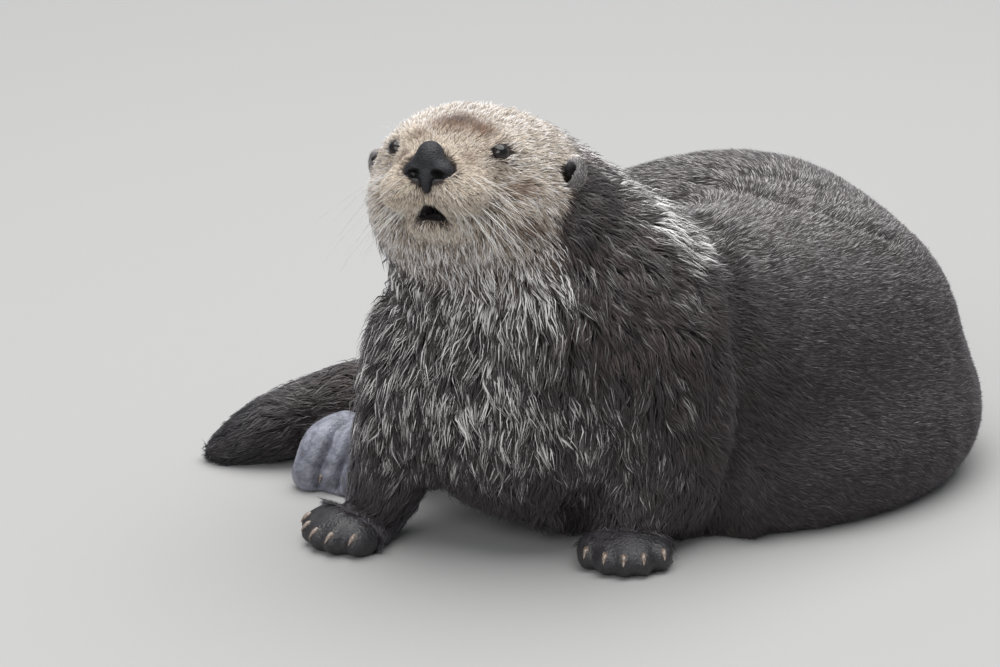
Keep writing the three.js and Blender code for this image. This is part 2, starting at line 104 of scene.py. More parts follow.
BODY = frame_at((0, 0, 0))
HEAD = frame_at((-21, 80, 326), (-20, -17, -4))
RIGHT_PAW = frame_at((-112, 87, 0), (-52, 0, 0))
LEFT_PAW = frame_at((104, 47, 0), (-4, 0, 0))


def placed(frame_matrix, points):
    """Points of a frame in the body's millimetres."""
    return np.asarray(points, float) @ frame_matrix[:3, :3].T + frame_matrix[:3, 3]


def turned(frame_matrix, vectors):
    return np.asarray(vectors, float) @ frame_matrix[:3, :3].T


def seen_from(frame_matrix, p):
    """The body's points p as the frame has them."""
    return placed(np.linalg.inv(frame_matrix), p)


def length(v):
    return np.sqrt(np.einsum("...i,...i", v, v))


def unit(v):
    return v / np.maximum(length(v), 1e-9)[..., None]


def smooth(low, high, x):
    """0 below low, 1 above high, and a smooth step between them."""
    t = np.clip((x - low) / (high - low), 0, 1)
    return t * t * (3 - 2 * t)


def body_shift():
    """What takes the body's millimetres to the frame: found from where the left eye is."""
    low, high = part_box("eye_left")
    made = placed(HEAD, EYE_PLACE) / 1000
    return np.array((low + high) / 2) - made


SHIFT = body_shift()


def to_row(points):
    return np.asarray(points, float) / 1000 + SHIFT


def from_row(points):
    return (points - SHIFT) * 1000


def in_body(verts):
    """The places of a bmesh's points in the body's millimetres."""
    return from_row(np.array([v.co for v in verts]))


# ---------------------------------------------------------------- the field of the outer coat
# Each shape is a function of points that gives rough distances in millimetres, negative inside.
def stretched(q, radii):
    k0 = length(q / radii)
    k1 = length(q / (radii * radii))
    return k0 * (k0 - 1) / np.maximum(k1, 1e-9)


def mass(centre, radii, turn=(0, 0, 0), frame_matrix=BODY):
    """A round mass: an ellipsoid."""
    m = np.linalg.inv(frame_matrix @ frame_at(centre, turn))
    radii = np.array(radii, float)
    return lambda p: stretched(p @ m[:3, :3].T + m[:3, 3], radii)


def curve_through(stops, steps):
    """Points along a centripetal Catmull-Rom curve, `steps` to each span."""
    stops = np.array(stops, float)
    padded = np.vstack([2 * stops[0] - stops[1], stops, 2 * stops[-1] - stops[-2]])
    made = []
    for i in range(len(stops) - 1):
        a, b, c, d = padded[i : i + 4]
        gaps = [length(b - a) ** 0.5, length(c - b) ** 0.5, length(d - c) ** 0.5]
        if gaps[1] < 1e-4:
            gaps[1] = 1.0
        g0, g1, g2 = (g if g >= 1e-4 else gaps[1] for g in gaps)
        out = ((b - a) / g0 - (c - a) / (g0 + g1) + (c - b) / g1) * g1
        into = ((c - b) / g1 - (d - b) / (g1 + g2) + (d - c) / g2) * g1
        for t in np.arange(steps) / steps:
            bend = -3 * b + 3 * c - 2 * out - into
            twist = 2 * b - 2 * c + out + into
            made.append(b + out * t + bend * t**2 + twist * t**3)
    made.append(stops[-1])
    return np.array(made)


def limb(stations, steps=6):
    """A limb swept through stations (x, y, z, half width, half height)."""
    stations = np.array(stations, float)
    centres = curve_through(stations[:, :3], steps)
    sizes = curve_through(np.pad(stations[:, 3:], ((0, 0), (0, 1))), steps)[:, :2]
    spans = []
    for start, end, near, far in zip(centres[:-1], centres[1:], sizes[:-1], sizes[1:]):
        span = length(end - start)
        along = (end - start) / span
        side = unit(np.array([-along[1], along[0], 0.0]))
        ball = span / 2 + max(near.max(), far.max())
        spans.append((start, along, side, np.cross(along, side), span, near, far, ball))

    middles = (centres[:-1] + centres[1:]) / 2
    balls = np.array([span[-1] for span in spans])

    def distance(p):
        least = np.full(len(p), 60.0)
        squares = (p * p).sum(1)[:, None] - 2 * p @ middles.T + (middles * middles).sum(1)
        gaps = np.sqrt(np.maximum(squares, 0)) - balls
        for k, (start, along, side, rise, span, near, far, _) in enumerate(spans):
            close = np.nonzero(gaps[:, k] < least)[0]
            q = p[close] - start
            run = q @ along
            t = np.clip(run / span, 0, 1)
            size = near + (far - near) * t[:, None]
            local = np.stack([q @ side, run - t * span, q @ rise], 1)
            radii = np.stack([size[:, 0], (size[:, 0] + size[:, 1]) / 2, size[:, 1]], 1)
            least[close] = np.minimum(least[close], stretched(local, radii))
        return least

    return distance


def within(centre, reach, shape):
    """A shape worked out only near itself: beyond 60 mm the distance to its bounding ball serves."""

    def distance(p):
        clear = length(p - np.array(centre, float)) - reach
        close = clear < 60
        if close.any():
            clear[close] = shape(p[close])
        return clear

    return distance


def blend(soft, *shapes):
    """Joins shapes, filling the corner between them over about `soft` millimetres."""

    def distance(p):
        d = shapes[0](p)
        for shape in shapes[1:]:
            e = shape(p)
            h = np.maximum(soft - np.abs(d - e), 0) / soft
            d = np.minimum(d, e) - h * h * soft / 4
        return d

    return distance


def both_sides(make):
    return [make(-1), make(1)]


def in_head(centre, radii, turn=(0, 0, 0)):
    return mass(centre, radii, turn, HEAD)


def head_field():
    skull = in_head((0, 8, 0), (76, 75, 47))
    brow = in_head((0, -44, 9), (57, 39, 28))
    cheeks = both_sides(lambda s: in_head((s * 33, -26, -28), (42, 50, 38), (s * 12, 0, 0)))
    muzzle = in_head((0, -78, -7), (36, 37, 25))
    whisker_pads = both_sides(lambda s: in_head((s * 20, -88, -20), (25, 28, 20), (s * 14, 0, 0)))
    chin = in_head((0, -70, -42), (31, 32, 18))
    throat = in_head((0, -12, -50), (64, 60, 34))
    return blend(18, blend(26, skull, throat, *cheeks), brow, blend(12, muzzle, chin, *whisker_pads))


def toe_place(i):
    share = i / (TOES - 1) - 0.5
    return share * (PAW_WIDTH - 18), -34 + 60 * share * share, share * 28


def paw_field(paw_frame):
    toes = []
    for i in range(TOES):
        x, y, turn = toe_place(i)
        toes.append(mass((x, y, 11), (10.5, 22, 13), (turn, 0, 0), paw_frame))
    pad = mass((0, -8, 14), (PAW_WIDTH / 2 - 3, 34, 20), (0, -6, 0), paw_frame)
    return within(placed(paw_frame, (0, -20, 12)), 60, blend(9, pad, *toes))


def foot_spread(ankle, knuckles, tips, root_radius, tip_radius):
    """The stations of a hind foot's five toes."""
    knuckles, tips = np.array(knuckles, float), np.array(tips, float)
    toes = []
    for share in np.linspace(0, 1, TOES):
        knuckle = knuckles[0] + (knuckles[1] - knuckles[0]) * share
        tip = tips[0] + (tips[1] - tips[0]) * share
        r0 = root_radius[0] + (root_radius[1] - root_radius[0]) * share
        r1 = tip_radius[0] + (tip_radius[1] - tip_radius[0]) * share
        bend = knuckle + (tip - knuckle) * 0.55 + (0, 0, 9)
        toes.append([(*ankle, 24, 20), (*knuckle, r0, r0), (*bend, r0, r0), (*tip, r1, r1)])
    return toes


def foot_field(ankle, knuckles, tips, root_radius, tip_radius):
    toes = [limb(t, 4) for t in foot_spread(ankle, knuckles, tips, root_radius, tip_radius)]
    middles = [np.mean(pair, axis=0) for pair in (knuckles, tips)]
    spreads = [math.hypot(b[0] - a[0], b[1] - a[1]) / 2 for a, b in (knuckles, tips)]
    web = limb([
        (*ankle, 26, 20),
        (*middles[0], spreads[0], root_radius[0]),
        (*middles[1], spreads[1], tip_radius[0]),
    ])
    return within(middles[0], 95, blend(5, web, *toes))


# Each hind foot: its ankle, the outermost knuckles and tips, and the radii of those toes there.
RIGHT_FOOT = (
    (-64, 246, 38),
    [(-78, 212, 37), (-130, 222, 38)], [(-87, 188, 12), (-160, 200, 13)],
    (14, 22), (13, 17),
)
LEFT_FOOT = (
    (16, 444, 26),
    [(-26, 424, 24), (-38, 466, 22)], [(-84, 412, 11), (-112, 458, 11)],
    (15, 17), (12, 13),
)


def coat_field():
    """The outside of the whole coat."""
    neck = limb([(-23, 96, 285, 89, 80), (3, 112, 256, 104, 98), (30, 122, 215, 112, 112)])
    nape = mass((70, 138, 225), (90, 70, 62), (20, 0, 18))
    chest = mass((22, 112, 152), (120, 108, 142))
    left_shoulder = mass((112, 108, 168), (76, 78, 112), (0, 0, -6))
    fore_trunk = limb([
        (40, 135, 145, 112, 120), (115, 178, 130, 122, 122),
        (205, 222, 122, 131, 120), (258, 284, 106, 134, 121),
    ])
    hind_trunk = limb([
        (258, 284, 104, 133, 119), (218, 352, 118, 132, 127),
        (120, 384, 106, 112, 110), (30, 366, 78, 86, 82),
    ])
    belly = limb([
        (80, 150, 56, 90, 84), (140, 180, 48, 120, 86), (226, 216, 46, 140, 90),
        (266, 276, 50, 150, 95), (218, 346, 50, 138, 88), (112, 385, 46, 114, 76),
    ])
    rump = mass((-24, 352, 48), (62, 64, 49), (-20, 0, 0))
    tail = within((-140, 300, 40), 130, limb([
        (-40, 350, 52, 62, 52), (-90, 312, 42, 46, 41), (-140, 284, 39, 40, 38),
        (-190, 270, 29, 34, 30), (-228, 264, 14, 22, 20), (-246, 262, 5, 7, 6),
    ]))
    right_foreleg = within((-75, 94, 100), 120, limb([
        (-52, 92, 168, 62, 62), (-72, 92, 118, 50, 50), (-84, 98, 70, 40, 40), (-98, 96, 32, 32, 30),
    ]))
    left_foreleg = within((125, 82, 100), 130, limb([
        (118, 94, 170, 70, 70), (132, 86, 112, 60, 58), (124, 74, 62, 46, 44), (108, 62, 30, 36, 32),
    ]))
    right_hind_leg = within((10, 280, 60), 130, limb([
        (70, 300, 80, 74, 70), (10, 280, 56, 52, 48), (-50, 262, 46, 34, 32),
    ]))
    left_hind_leg = within((55, 435, 45), 110, limb([
        (100, 420, 66, 62, 58), (50, 440, 40, 42, 36), (14, 444, 27, 28, 24),
    ]))
    fore_body = blend(36, chest, neck, nape, left_shoulder)
    barrel = blend(26, blend(30, fore_trunk, belly), hind_trunk, rump)
    forequarters = blend(14, blend(16, fore_body, right_foreleg), left_foreleg)
    hindquarters = blend(18, barrel, right_hind_leg, left_hind_leg, tail)
    head = within(placed(HEAD, (0, -20, -10)), 120, head_field())
    return blend(
        10,
        blend(24, blend(22, forequarters, head), hindquarters),
        blend(8, paw_field(RIGHT_PAW), paw_field(LEFT_PAW)),
        blend(8, foot_field(*RIGHT_FOOT), foot_field(*LEFT_FOOT)),
    )


COAT_FIELD = coat_field()


def nose_field():
    pad = in_head((0, -105, 7.5), (11.5, 11, 13), (0, -20, 0))
    out = NOSE_WIDTH / 2 - 10
    wings = both_sides(lambda s: in_head((s * out, -105, 0), (12.5, 10, 6.6), (0, 0, s * 34)))
    lobes = both_sides(lambda s: in_head((s * 9.5, -106, -4.5), (9, 9, 6)))
    strip = in_head((0, -108, -10), (5.5, 8, 11.5))
    body = blend(5, pad, *wings, *lobes, strip)
    nostrils = both_sides(lambda s: in_head((s * 9.5, -117, -5.6), (4.2, 8, 2.6), (s * -24, 0, s * 18)))
    groove = in_head((0, -119, -8), (1.3, 3.4, 14))

    def distance(p):
        d = body(p)
        for hollow in nostrils:
            d = np.maximum(d, -hollow(p))
        return np.maximum(d, -groove(p) * 0.8)

    return distance, lambda p: np.minimum(nostrils[0](p), nostrils[1](p))


NOSE_FIELD, NOSTRILS = nose_field()
LEFT_LEG = limb([(50, 440, 40, 42, 36), (14, 444, 27, 28, 24)])
RIGHT_LEG_AND_TAIL = blend(
    5,
    limb([(10, 280, 56, 52, 48), (-50, 262, 46, 34, 32)]),
    limb([
        (-40, 350, 52, 62, 52), (-90, 312, 42, 46, 41), (-140, 284, 39, 40, 38), (-190, 270, 29, 34, 30),
    ]),
)


def slope(field, p, value, step=0.8):
    """The field's gradient."""
    return np.stack([(field(p + np.eye(3)[k] * step) - value) / step for k in range(3)], 1)


# ---------------------------------------------------------------- the map of the coat
# Every value of the coat and skin is spread from these rows: a place, how far it reaches, the way the
# hair lies there, the coat's depth and the locks' length and width in millimetres, and from 0 to 1 their
# gathering into points, paleness, silver tips and rust. A paleness below 0 is darker than the dark coat:
# painted shade behind the cheek and jaw and by the left foreleg; the tail's rows are below 0 too.
ZONES_OF_HEAD = [
    # x, y, z, reach, lie, depth, length, width, gather, pale, silver, rust
    ((0, -100, 22), 13, (0, 1, 0.4), 2.2, 5.5, 0.8, 0.1, 0.72, 0.25, 0.15),
    ((0, -55, 36), 22, (0, 1, 0.35), 4.5, 11, 1.0, 0.4, 0.64, 0.45, 0.20),
    ((0, 10, 47), 32, (0, 1, -0.05), 6.0, 14, 1.1, 0.5, 0.62, 0.52, 0.10),
    ((0, 70, 27), 30, (0, 0.8, -0.6), 8.0, 17, 1.5, 0.5, 0.40, 0.60, 0.08),
    ((13, -112, -8), 8, (0.9, 0.5, -0.2), 1.6, 4.0, 0.6, 0.0, 0.85, 0.15, 0.10),
    ((30, -95, -12), 14, (0.55, 0.75, -0.3), 2.4, 6.5, 0.7, 0.15, 0.82, 0.30, 0.15),
    ((14, -108, -28), 11, (0.35, 0.35, -0.9), 2.4, 6.5, 0.7, 0.15, 0.86, 0.35, 0.08),
    ((32, -74, 14), 13, (0.35, 0.9, 0.15), 2.2, 7.0, 0.8, 0.2, 0.76, 0.28, 0.15),
    ((60, -50, -18), 22, (0.3, 0.9, -0.4), 5.0, 13, 1.1, 0.45, 0.66, 0.52, 0.15),
    ((60, -40, 18), 17, (0.2, 0.95, 0.1), 4.0, 10, 1.0, 0.4, 0.72, 0.42, 0.14),
    ((74, 0, 8), 22, (0.1, 0.9, -0.4), 6.0, 13, 1.1, 0.4, 0.72, 0.55, 0.10),
    ((52, -40, -56), 22, (0.3, 0.6, -0.75), 7.5, 17, 1.2, 0.55, 0.56, 0.55, 0.12),
    ((14, -88, -50), 16, (0.1, 0.3, -0.95), 4.5, 11, 0.9, 0.4, 0.74, 0.42, 0.08),
    ((20, -45, -76), 22, (0.05, 0.5, -0.87), 9.0, 20, 1.5, 0.6, 0.40, 0.60, 0.06),
    # Behind the jaw, a paleness below 0: painted shade under the cheek.
    ((76, 34, -34), 16, (0.1, 0.6, -0.8), 8.0, 18, 1.6, 0.5, -0.15, 0.12, 0.10),
    ((78, 44, 6), 18, (0.1, 0.9, -0.4), 7.0, 16, 1.5, 0.5, 0.26, 0.55, 0.10),
]
ZONES_OF_BODY = [
    # the throat, neck and chest
    ((0, 10, 249), 22, (-0.05, -0.15, -1), 12, 24, 1.8, 0.7, 0.20, 0.80, 0.02),
    ((48, 12, 244), 26, (0.1, -0.1, -1), 13, 25, 1.9, 0.7, 0.08, 0.52, 0.12),
    # Behind the cheek, a paleness below 0 and little silver: painted shade under the head.
    ((66, 42, 297), 14, (0.35, 0.3, -0.9), 10, 18, 1.8, 0.5, -0.30, 0.00, 0.05),
    ((89, 71, 300), 18, (0.5, 0.3, -0.8), 13, 24, 1.9, 0.6, -0.10, 0.26, 0.15),
    ((81, 85, 317), 13, (0.5, 0.5, -0.7), 10, 20, 1.8, 0.5, -0.22, 0.12, 0.10),
    ((96, 39, 260), 26, (0.45, 0.1, -0.85), 14, 26, 2.0, 0.75, 0.03, 0.25, 0.15),
    # At the top of the crease between the chest and the left foreleg, a paleness below 0: painted shade.
    ((80, 14, 210), 30, (0.25, 0, -0.95), 14, 25, 1.9, 0.75, -0.08, 0.20, 0.12),
    ((129, 29, 204), 30, (0.45, 0.05, -0.9), 14, 25, 2.0, 0.75, 0.02, 0.20, 0.12),
    ((139, 123, 279), 28, (0.8, 0.25, -0.30), 13, 25, 1.7, 0.75, 0.14, 0.60, 0.08),
    ((163, 97, 249), 26, (0.75, 0.2, -0.45), 12, 24, 1.7, 0.75, 0.10, 0.50, 0.10),
    ((153, 52, 222), 22, (0.6, 0.1, -0.8), 12, 22, 1.9, 0.7, 0.04, 0.30, 0.10),
    ((-95, 100, 262), 34, (-0.3, 0.2, -0.95), 13, 26, 2.0, 0.7, 0.12, 0.60, 0.10),
    ((30, 190, 280), 45, (0.35, 0.7, -0.6), 11, 24, 2.0, 0.4, 0.12, 0.50, 0.08),
    ((-24, 13, 210), 34, (-0.05, 0, -1), 15, 28, 1.8, 0.85, 0.09, 0.47, 0.07),
    ((-56, 35, 228), 26, (-0.2, 0, -1), 14, 27, 1.9, 0.8, 0.12, 0.56, 0.06),
    ((32, 3, 205), 26, (0.1, 0, -1), 14, 27, 1.9, 0.85, 0.04, 0.34, 0.06),
    ((0, 9, 117), 32, (0.05, 0.1, -1), 14, 28, 1.7, 0.9, 0.07, 0.50, 0.04),
    ((48, 6, 135), 28, (0.1, 0.1, -1), 14, 27, 1.8, 0.9, 0.04, 0.42, 0.05),
    ((-65, 31, 143), 28, (-0.15, 0, -1), 13, 25, 1.8, 0.8, 0.06, 0.46, 0.05),
    ((20, 60, 30), 46, (0.1, 0.2, -1), 10, 22, 2.0, 0.8, 0.00, 0.12, 0.02),
    # the forelegs
    ((-97, 58, 193), 30, (-0.15, 0.1, -1), 14, 27, 2.0, 0.8, 0.08, 0.42, 0.05),
    ((-98, 100, 170), 42, (-0.1, 0.15, -1), 14, 27, 2.0, 0.8, 0.06, 0.38, 0.06),
    ((-82, 48, 93), 30, (-0.25, -0.05, -1), 8, 19, 1.6, 0.75, 0.05, 0.38, 0.05),
    ((-100, 82, 42), 20, (-0.55, -0.35, -0.75), 5, 14, 1.5, 0.7, 0.00, 0.12, 0.02),
    ((113, 24, 128), 32, (-0.05, 0.0, -1), 10, 22, 1.7, 0.75, 0.05, 0.40, 0.06),
    ((165, 80, 130), 36, (0.2, 0.1, -0.95), 10, 20, 1.8, 0.6, 0.02, 0.18, 0.10),
    ((98, 37, 71), 26, (-0.05, -0.15, -1), 7, 17, 1.5, 0.7, 0.04, 0.36, 0.04),
    ((135, 60, 55), 26, (0.1, -0.15, -1), 6, 15, 1.5, 0.7, 0.01, 0.18, 0.06),
    # the trunk
    # In the crease behind the left foreleg, a paleness below 0 and little silver: painted shade.
    ((188, 94, 206), 24, (0.8, 0.2, -0.5), 5, 11, 1.2, 0.15, -0.15, 0.05, 0.04),
    ((203, 76, 110), 26, (0.8, 0.2, -0.5), 5, 11, 1.2, 0.15, -0.15, 0.05, 0.02),
    # The rows on the top of the trunk are paler and more silver than the flanks': partly silver tips,
    # partly a painted highlight of the sky on the back.
    ((120, 180, 262), 40, (0.85, 0.3, -0.15), 7, 15, 1.4, 0.2, 0.09, 0.36, 0.05),
    ((289, 127, 151), 60, (0.92, 0.3, -0.3), 3.4, 8, 1.0, 0.1, 0.03, 0.22, 0.04),
    ((220, 220, 240), 60, (0.85, 0.5, -0.1), 3.4, 8, 1.0, 0.1, 0.18, 0.38, 0.04),
    ((390, 240, 120), 60, (0.2, 0.85, -0.4), 3.4, 8, 1.0, 0.1, 0.04, 0.24, 0.05),
    ((330, 310, 215), 60, (0.2, 0.9, -0.15), 3.4, 8, 1.0, 0.1, 0.14, 0.36, 0.04),
    ((300, 430, 120), 70, (-0.6, 0.75, -0.3), 3.6, 9, 1.1, 0.1, 0.03, 0.22, 0.04),
    ((150, 500, 110), 70, (-1, 0.05, -0.25), 3.6, 9, 1.1, 0.1, 0.03, 0.22, 0.04),
    ((150, 400, 225), 70, (-1, 0, -0.1), 3.6, 9, 1.1, 0.1, 0.20, 0.40, 0.04),
    ((0, 420, 130), 55, (-1, -0.1, -0.3), 4.5, 11, 1.3, 0.15, 0.03, 0.18, 0.03),
    ((120, 280, 110), 50, (-0.2, 0.2, -0.9), 4, 10, 1.3, 0.1, 0.02, 0.12, 0.03),
    # the rump, tail and hind legs
    ((-60, 345, 90), 40, (-0.9, -0.4, -0.15), 6, 15, 1.7, 0.5, 0.02, 0.16, 0.10),
    ((-110, 290, 80), 30, (-0.9, -0.35, -0.1), 7, 17, 1.8, 0.6, 0.05, 0.34, 0.25),
    ((-150, 284, 50), 36, (-0.95, -0.25, -0.2), 7, 17, 1.7, 0.8, -0.18, 0.22, 0.08),
    ((-225, 264, 20), 26, (-0.95, -0.05, -0.3), 4, 18, 1.6, 0.85, -0.20, 0.22, 0.02),
    ((0, 270, 60), 40, (-0.9, -0.2, -0.3), 5, 13, 1.6, 0.4, 0.02, 0.12, 0.05),
    ((50, 450, 50), 40, (-0.95, 0.1, -0.2), 5, 13, 1.6, 0.4, 0.02, 0.12, 0.05),
]
COLUMNS = ["lie_x", "lie_y", "lie_z", "depth", "length", "width", "gather", "pale", "silver", "rust"]


def zone_rows():
    """The places, reaches and values of all rows, the head's on both sides, in the body's millimetres."""
    places, reaches, values = [], [], []
    for place, reach, lie, *rest in ZONES_OF_HEAD:
        for s in (1, -1) if place[0] else (1,):
            places.append(placed(HEAD, (s * place[0], place[1], place[2])))
            reaches.append(reach)
            way = turned(HEAD, unit(np.array((s * lie[0], lie[1], lie[2]), float)))
            values.append([*way, *rest])
    for place, reach, lie, *rest in ZONES_OF_BODY:
        places.append(np.array(place, float))
        reaches.append(reach)
        values.append([*unit(np.array(lie, float)), *rest])
    return np.array(places), np.array(reaches, float), np.array(values, float)


ZONE_PLACES, ZONE_REACHES, ZONE_VALUES = zone_rows()


def coat_values(p):
    """Each column of the map, spread to the points p, as a dict of arrays."""
    spread = np.empty((len(p), len(COLUMNS)))
    for first in range(0, len(p), 40000):
        q = p[first : first + 40000]
        squares = (q * q).sum(1)[:, None] - 2 * q @ ZONE_PLACES.T + (ZONE_PLACES * ZONE_PLACES).sum(1)
        far = np.maximum(squares, 0) / (2 * ZONE_REACHES * ZONE_REACHES)
        weight = np.exp(-far) + 1e-7 / (1 + far) ** 2
        spread[first : first + 40000] = weight @ ZONE_VALUES / weight.sum(1)[:, None]
    made = {name: spread[:, i] for i, name in enumerate(COLUMNS[3:], 3)}
    made["lie"] = spread[:, :3]
    return made


def bareness(p):
    """1 on the bare toes, hind feet and nose, 0 in the coat."""
    bare = np.zeros(len(p))
    for paw in (RIGHT_PAW, LEFT_PAW):
        near = length(p - paw[:3, 3]) < 80
        q = seen_from(paw, p[near])
        forward = smooth(-15, -27, q[:, 1] - 0.009 * q[:, 0] ** 2) * smooth(46, 30, q[:, 2])
        bare[near] = np.maximum(bare[near], forward)
    for foot, other in ((RIGHT_FOOT, RIGHT_LEG_AND_TAIL), (LEFT_FOOT, LEFT_LEG)):
        near = length(p - (np.mean(foot[1], axis=0) + np.mean(foot[2], axis=0)) / 2) < 95
        on_foot = foot_field(*foot)(p[near])
        on_leg = other(p[near])
        bare[near] = np.maximum(bare[near], smooth(-3, 4, on_leg - on_foot) * smooth(9, 5, on_foot))
    q = seen_from(HEAD, p)
    nose = stretched(q - (0, -110, 0), np.array((19.0, 16.0, 15.0)))
    return np.maximum(bare, smooth(1.5, -1.5, nose))


# ---------------------------------------------------------------- markings of the coat and painted shade
BROWN_PATCHES = [
    # place in the head's frame, reach, strength
    ((4, -58, 35), (19, 19, 14), 1.0),
    ((24, -62, 28), (14, 12, 10), 0.75),
    ((-20, -74, 22), (8, 8, 8), 0.5),
    ((-27, -92, 4), (8, 11, 9), 0.9),
    ((25, -93, 6), (6, 9, 8), 0.4),
    ((36, -72, -8), (10, 16, 6), 0.25),
    ((54, -56, -16), (17, 18, 8), 0.55),
    ((58, -48, -42), (17, 18, 10), 0.55),
    ((-48, -58, -26), (12, 18, 8), 0.35),
    ((-58, -40, 2), (10, 16, 10), 0.35),
    ((66, -10, 34), (14, 20, 12), 0.3),
]


UNDER_CHIN = [  # a run under the chin and behind the cheek: a crease in the skin and a painted shadow on the coat
    (-80, 25, 270), (-56, 16, 263), (-36, 8, 264), (-16, 4, 265), (4, 4, 266), (24, 7, 270), (38, 13, 278),
    (50, 24, 291), (62, 38, 302), (72, 58, 312), (77, 76, 320),
]


def run_distance(p, run):
    """The distance from points p to a run of places joined by straight lines."""
    least = np.full(len(p), np.inf)
    run = np.array(run, float)
    for start, end in zip(run[:-1], run[1:]):
        along = end - start
        t = np.clip((p - start) @ along / (along @ along), 0, 1)
        least = np.minimum(least, length(p - start - t[:, None] * along))
    return least


def patch(p, place, reach):
    """1 at a place, falling off over its reach along each axis."""
    return np.exp(-(((p - place) / reach) ** 2).sum(1))


def markings_and_shade(p):
    """Paleness with painted shade, silver, rust and bareness at points p: the same for skin and coat."""
    values = coat_values(p)
    q = seen_from(HEAD, p)
    brown = np.zeros(len(p))
    for place, reach, strength in BROWN_PATCHES:
        brown = np.maximum(brown, strength * patch(q, place, reach))
    # A painted shadow along UNDER_CHIN: the coat is darker and less silver there, and darker still behind
    # the cheek.
    away = run_distance(p, UNDER_CHIN)
    wide = 5.5 + 9 * smooth(30, 62, p[:, 0])
    behind_cheek = smooth(20, 45, p[:, 0])
    shade = np.exp(-((away / wide) ** 2)) * (0.70 + 0.30 * behind_cheek)
    pale = values["pale"] * (1 - 0.85 * brown) * (1 - 0.9 * shade) - 0.20 * shade * behind_cheek
    silver = values["silver"] * (1 - 0.75 * brown) * (1 - 0.8 * shade)
    rust = np.clip(values["rust"] + 0.9 * brown, 0, 1)
    return pale, silver, rust, bareness(p)


# ---------------------------------------------------------------- mesh helpers
def mesh_points(mesh):
    co = np.empty(len(mesh.vertices) * 3)
    mesh.vertices.foreach_get("co", co)
    return co.reshape(-1, 3)


def new_object(name, mesh):
    made = bpy.data.objects.new(name, mesh)
    bpy.context.scene.collection.objects.link(made)
    return made


def shade_smooth(mesh):
    mesh.polygons.foreach_set("use_smooth", np.ones(len(mesh.polygons), bool))


def mesh_of(name, points, faces):
    """A mesh from an array of points and one of faces, a row of corners each."""
    mesh = bpy.data.meshes.new(name)
    faces = np.asarray(faces, np.int32)
    mesh.vertices.add(len(points))
    mesh.vertices.foreach_set("co", np.asarray(points, np.float32).ravel())
    mesh.loops.add(faces.size)
    mesh.loops.foreach_set("vertex_index", faces.ravel())
    mesh.polygons.add(len(faces))
    starts = np.arange(len(faces), dtype=np.int32) * faces.shape[1]
    mesh.polygons.foreach_set("loop_start", starts)
    shade_smooth(mesh)
    mesh.update(calc_edges=True)
    mesh.validate()
    return mesh


def set_colours(mesh, name, *channels):
    """A colour attribute on the points, from up to four arrays."""
    layer = mesh.color_attributes.new(name, "FLOAT_COLOR", "POINT")
    rgba = np.ones((len(mesh.vertices), 4), np.float32)
    for i, channel in enumerate(channels):
        rgba[:, i] = channel
    layer.data.foreach_set("color", rgba.ravel())


def noise_at(p, scale, seed):
    """Smooth noise of about -1 to 1 at points p, from summed waves whose length is about `scale` mm."""
    rng = np.random.default_rng(seed)
    total = np.zeros(len(p))
    for _ in range(9):
        way = unit(rng.normal(size=3)) * (2 * math.pi / scale) * rng.uniform(0.6, 1.6)
        total += np.sin(p @ way + rng.uniform(0, 2 * math.pi))
    return total / 3


# ---------------------------------------------------------------- sizes and colours
class OtterSizes(bpy.types.PropertyGroup):
    skin_voxel: bpy.props.FloatProperty(
        name="Skin voxel", description="Size of the voxels that join the solids into one skin",
        default=0.0048, min=0.002, max=0.01, unit="LENGTH",
    )
    coat_fullness: bpy.props.FloatProperty(
        name="Coat fullness", description="How thickly the locks grow, 1 being as made",
        default=1.0, min=0.1, max=2.0, subtype="FACTOR",
    )
    whisker_length: bpy.props.FloatProperty(
        name="Whisker length", description="Length of the longest whiskers",
        default=0.085, min=0.02, max=0.12, unit="LENGTH",
    )
    claw_length: bpy.props.FloatProperty(
        name="Claw length", description="Length of a forepaw's claws",
        default=0.009, min=0.004, max=0.02, unit="LENGTH",
    )


def colour_property(name, description, default):
    return bpy.props.FloatVectorProperty(
        name=name, description=description, default=default, size=3, min=0, max=1, subtype="COLOR",
    )


class OtterColours(bpy.types.PropertyGroup):
    dark: colour_property("Dark coat", "The trunk, legs and tail", (0.0300, 0.0235, 0.0258))
    brown: colour_property("Brown coat", "The hair below the pale tips", (0.142, 0.092, 0.062))
    cream: colour_property("Cream coat", "The face and throat", (0.86, 0.745, 0.60))
    silver: colour_property("Silver tips", "The tips of the long hairs", (0.84, 0.81, 0.79))
    rust: colour_property("Rust patches", "The patches on the brow and cheeks", (0.205, 0.100, 0.042))
    paw: colour_property("Paw skin", "The bare skin of the forepaws", (0.028, 0.0255, 0.0275))
    foot: colour_property("Foot skin", "The bare skin of the hind feet", (0.215, 0.220, 0.262))
    nose: colour_property("Nose skin", "The nose pad", (0.0180, 0.0180, 0.0220))
    floor: colour_property("Floor", "The studio floor", (0.405, 0.400, 0.392))


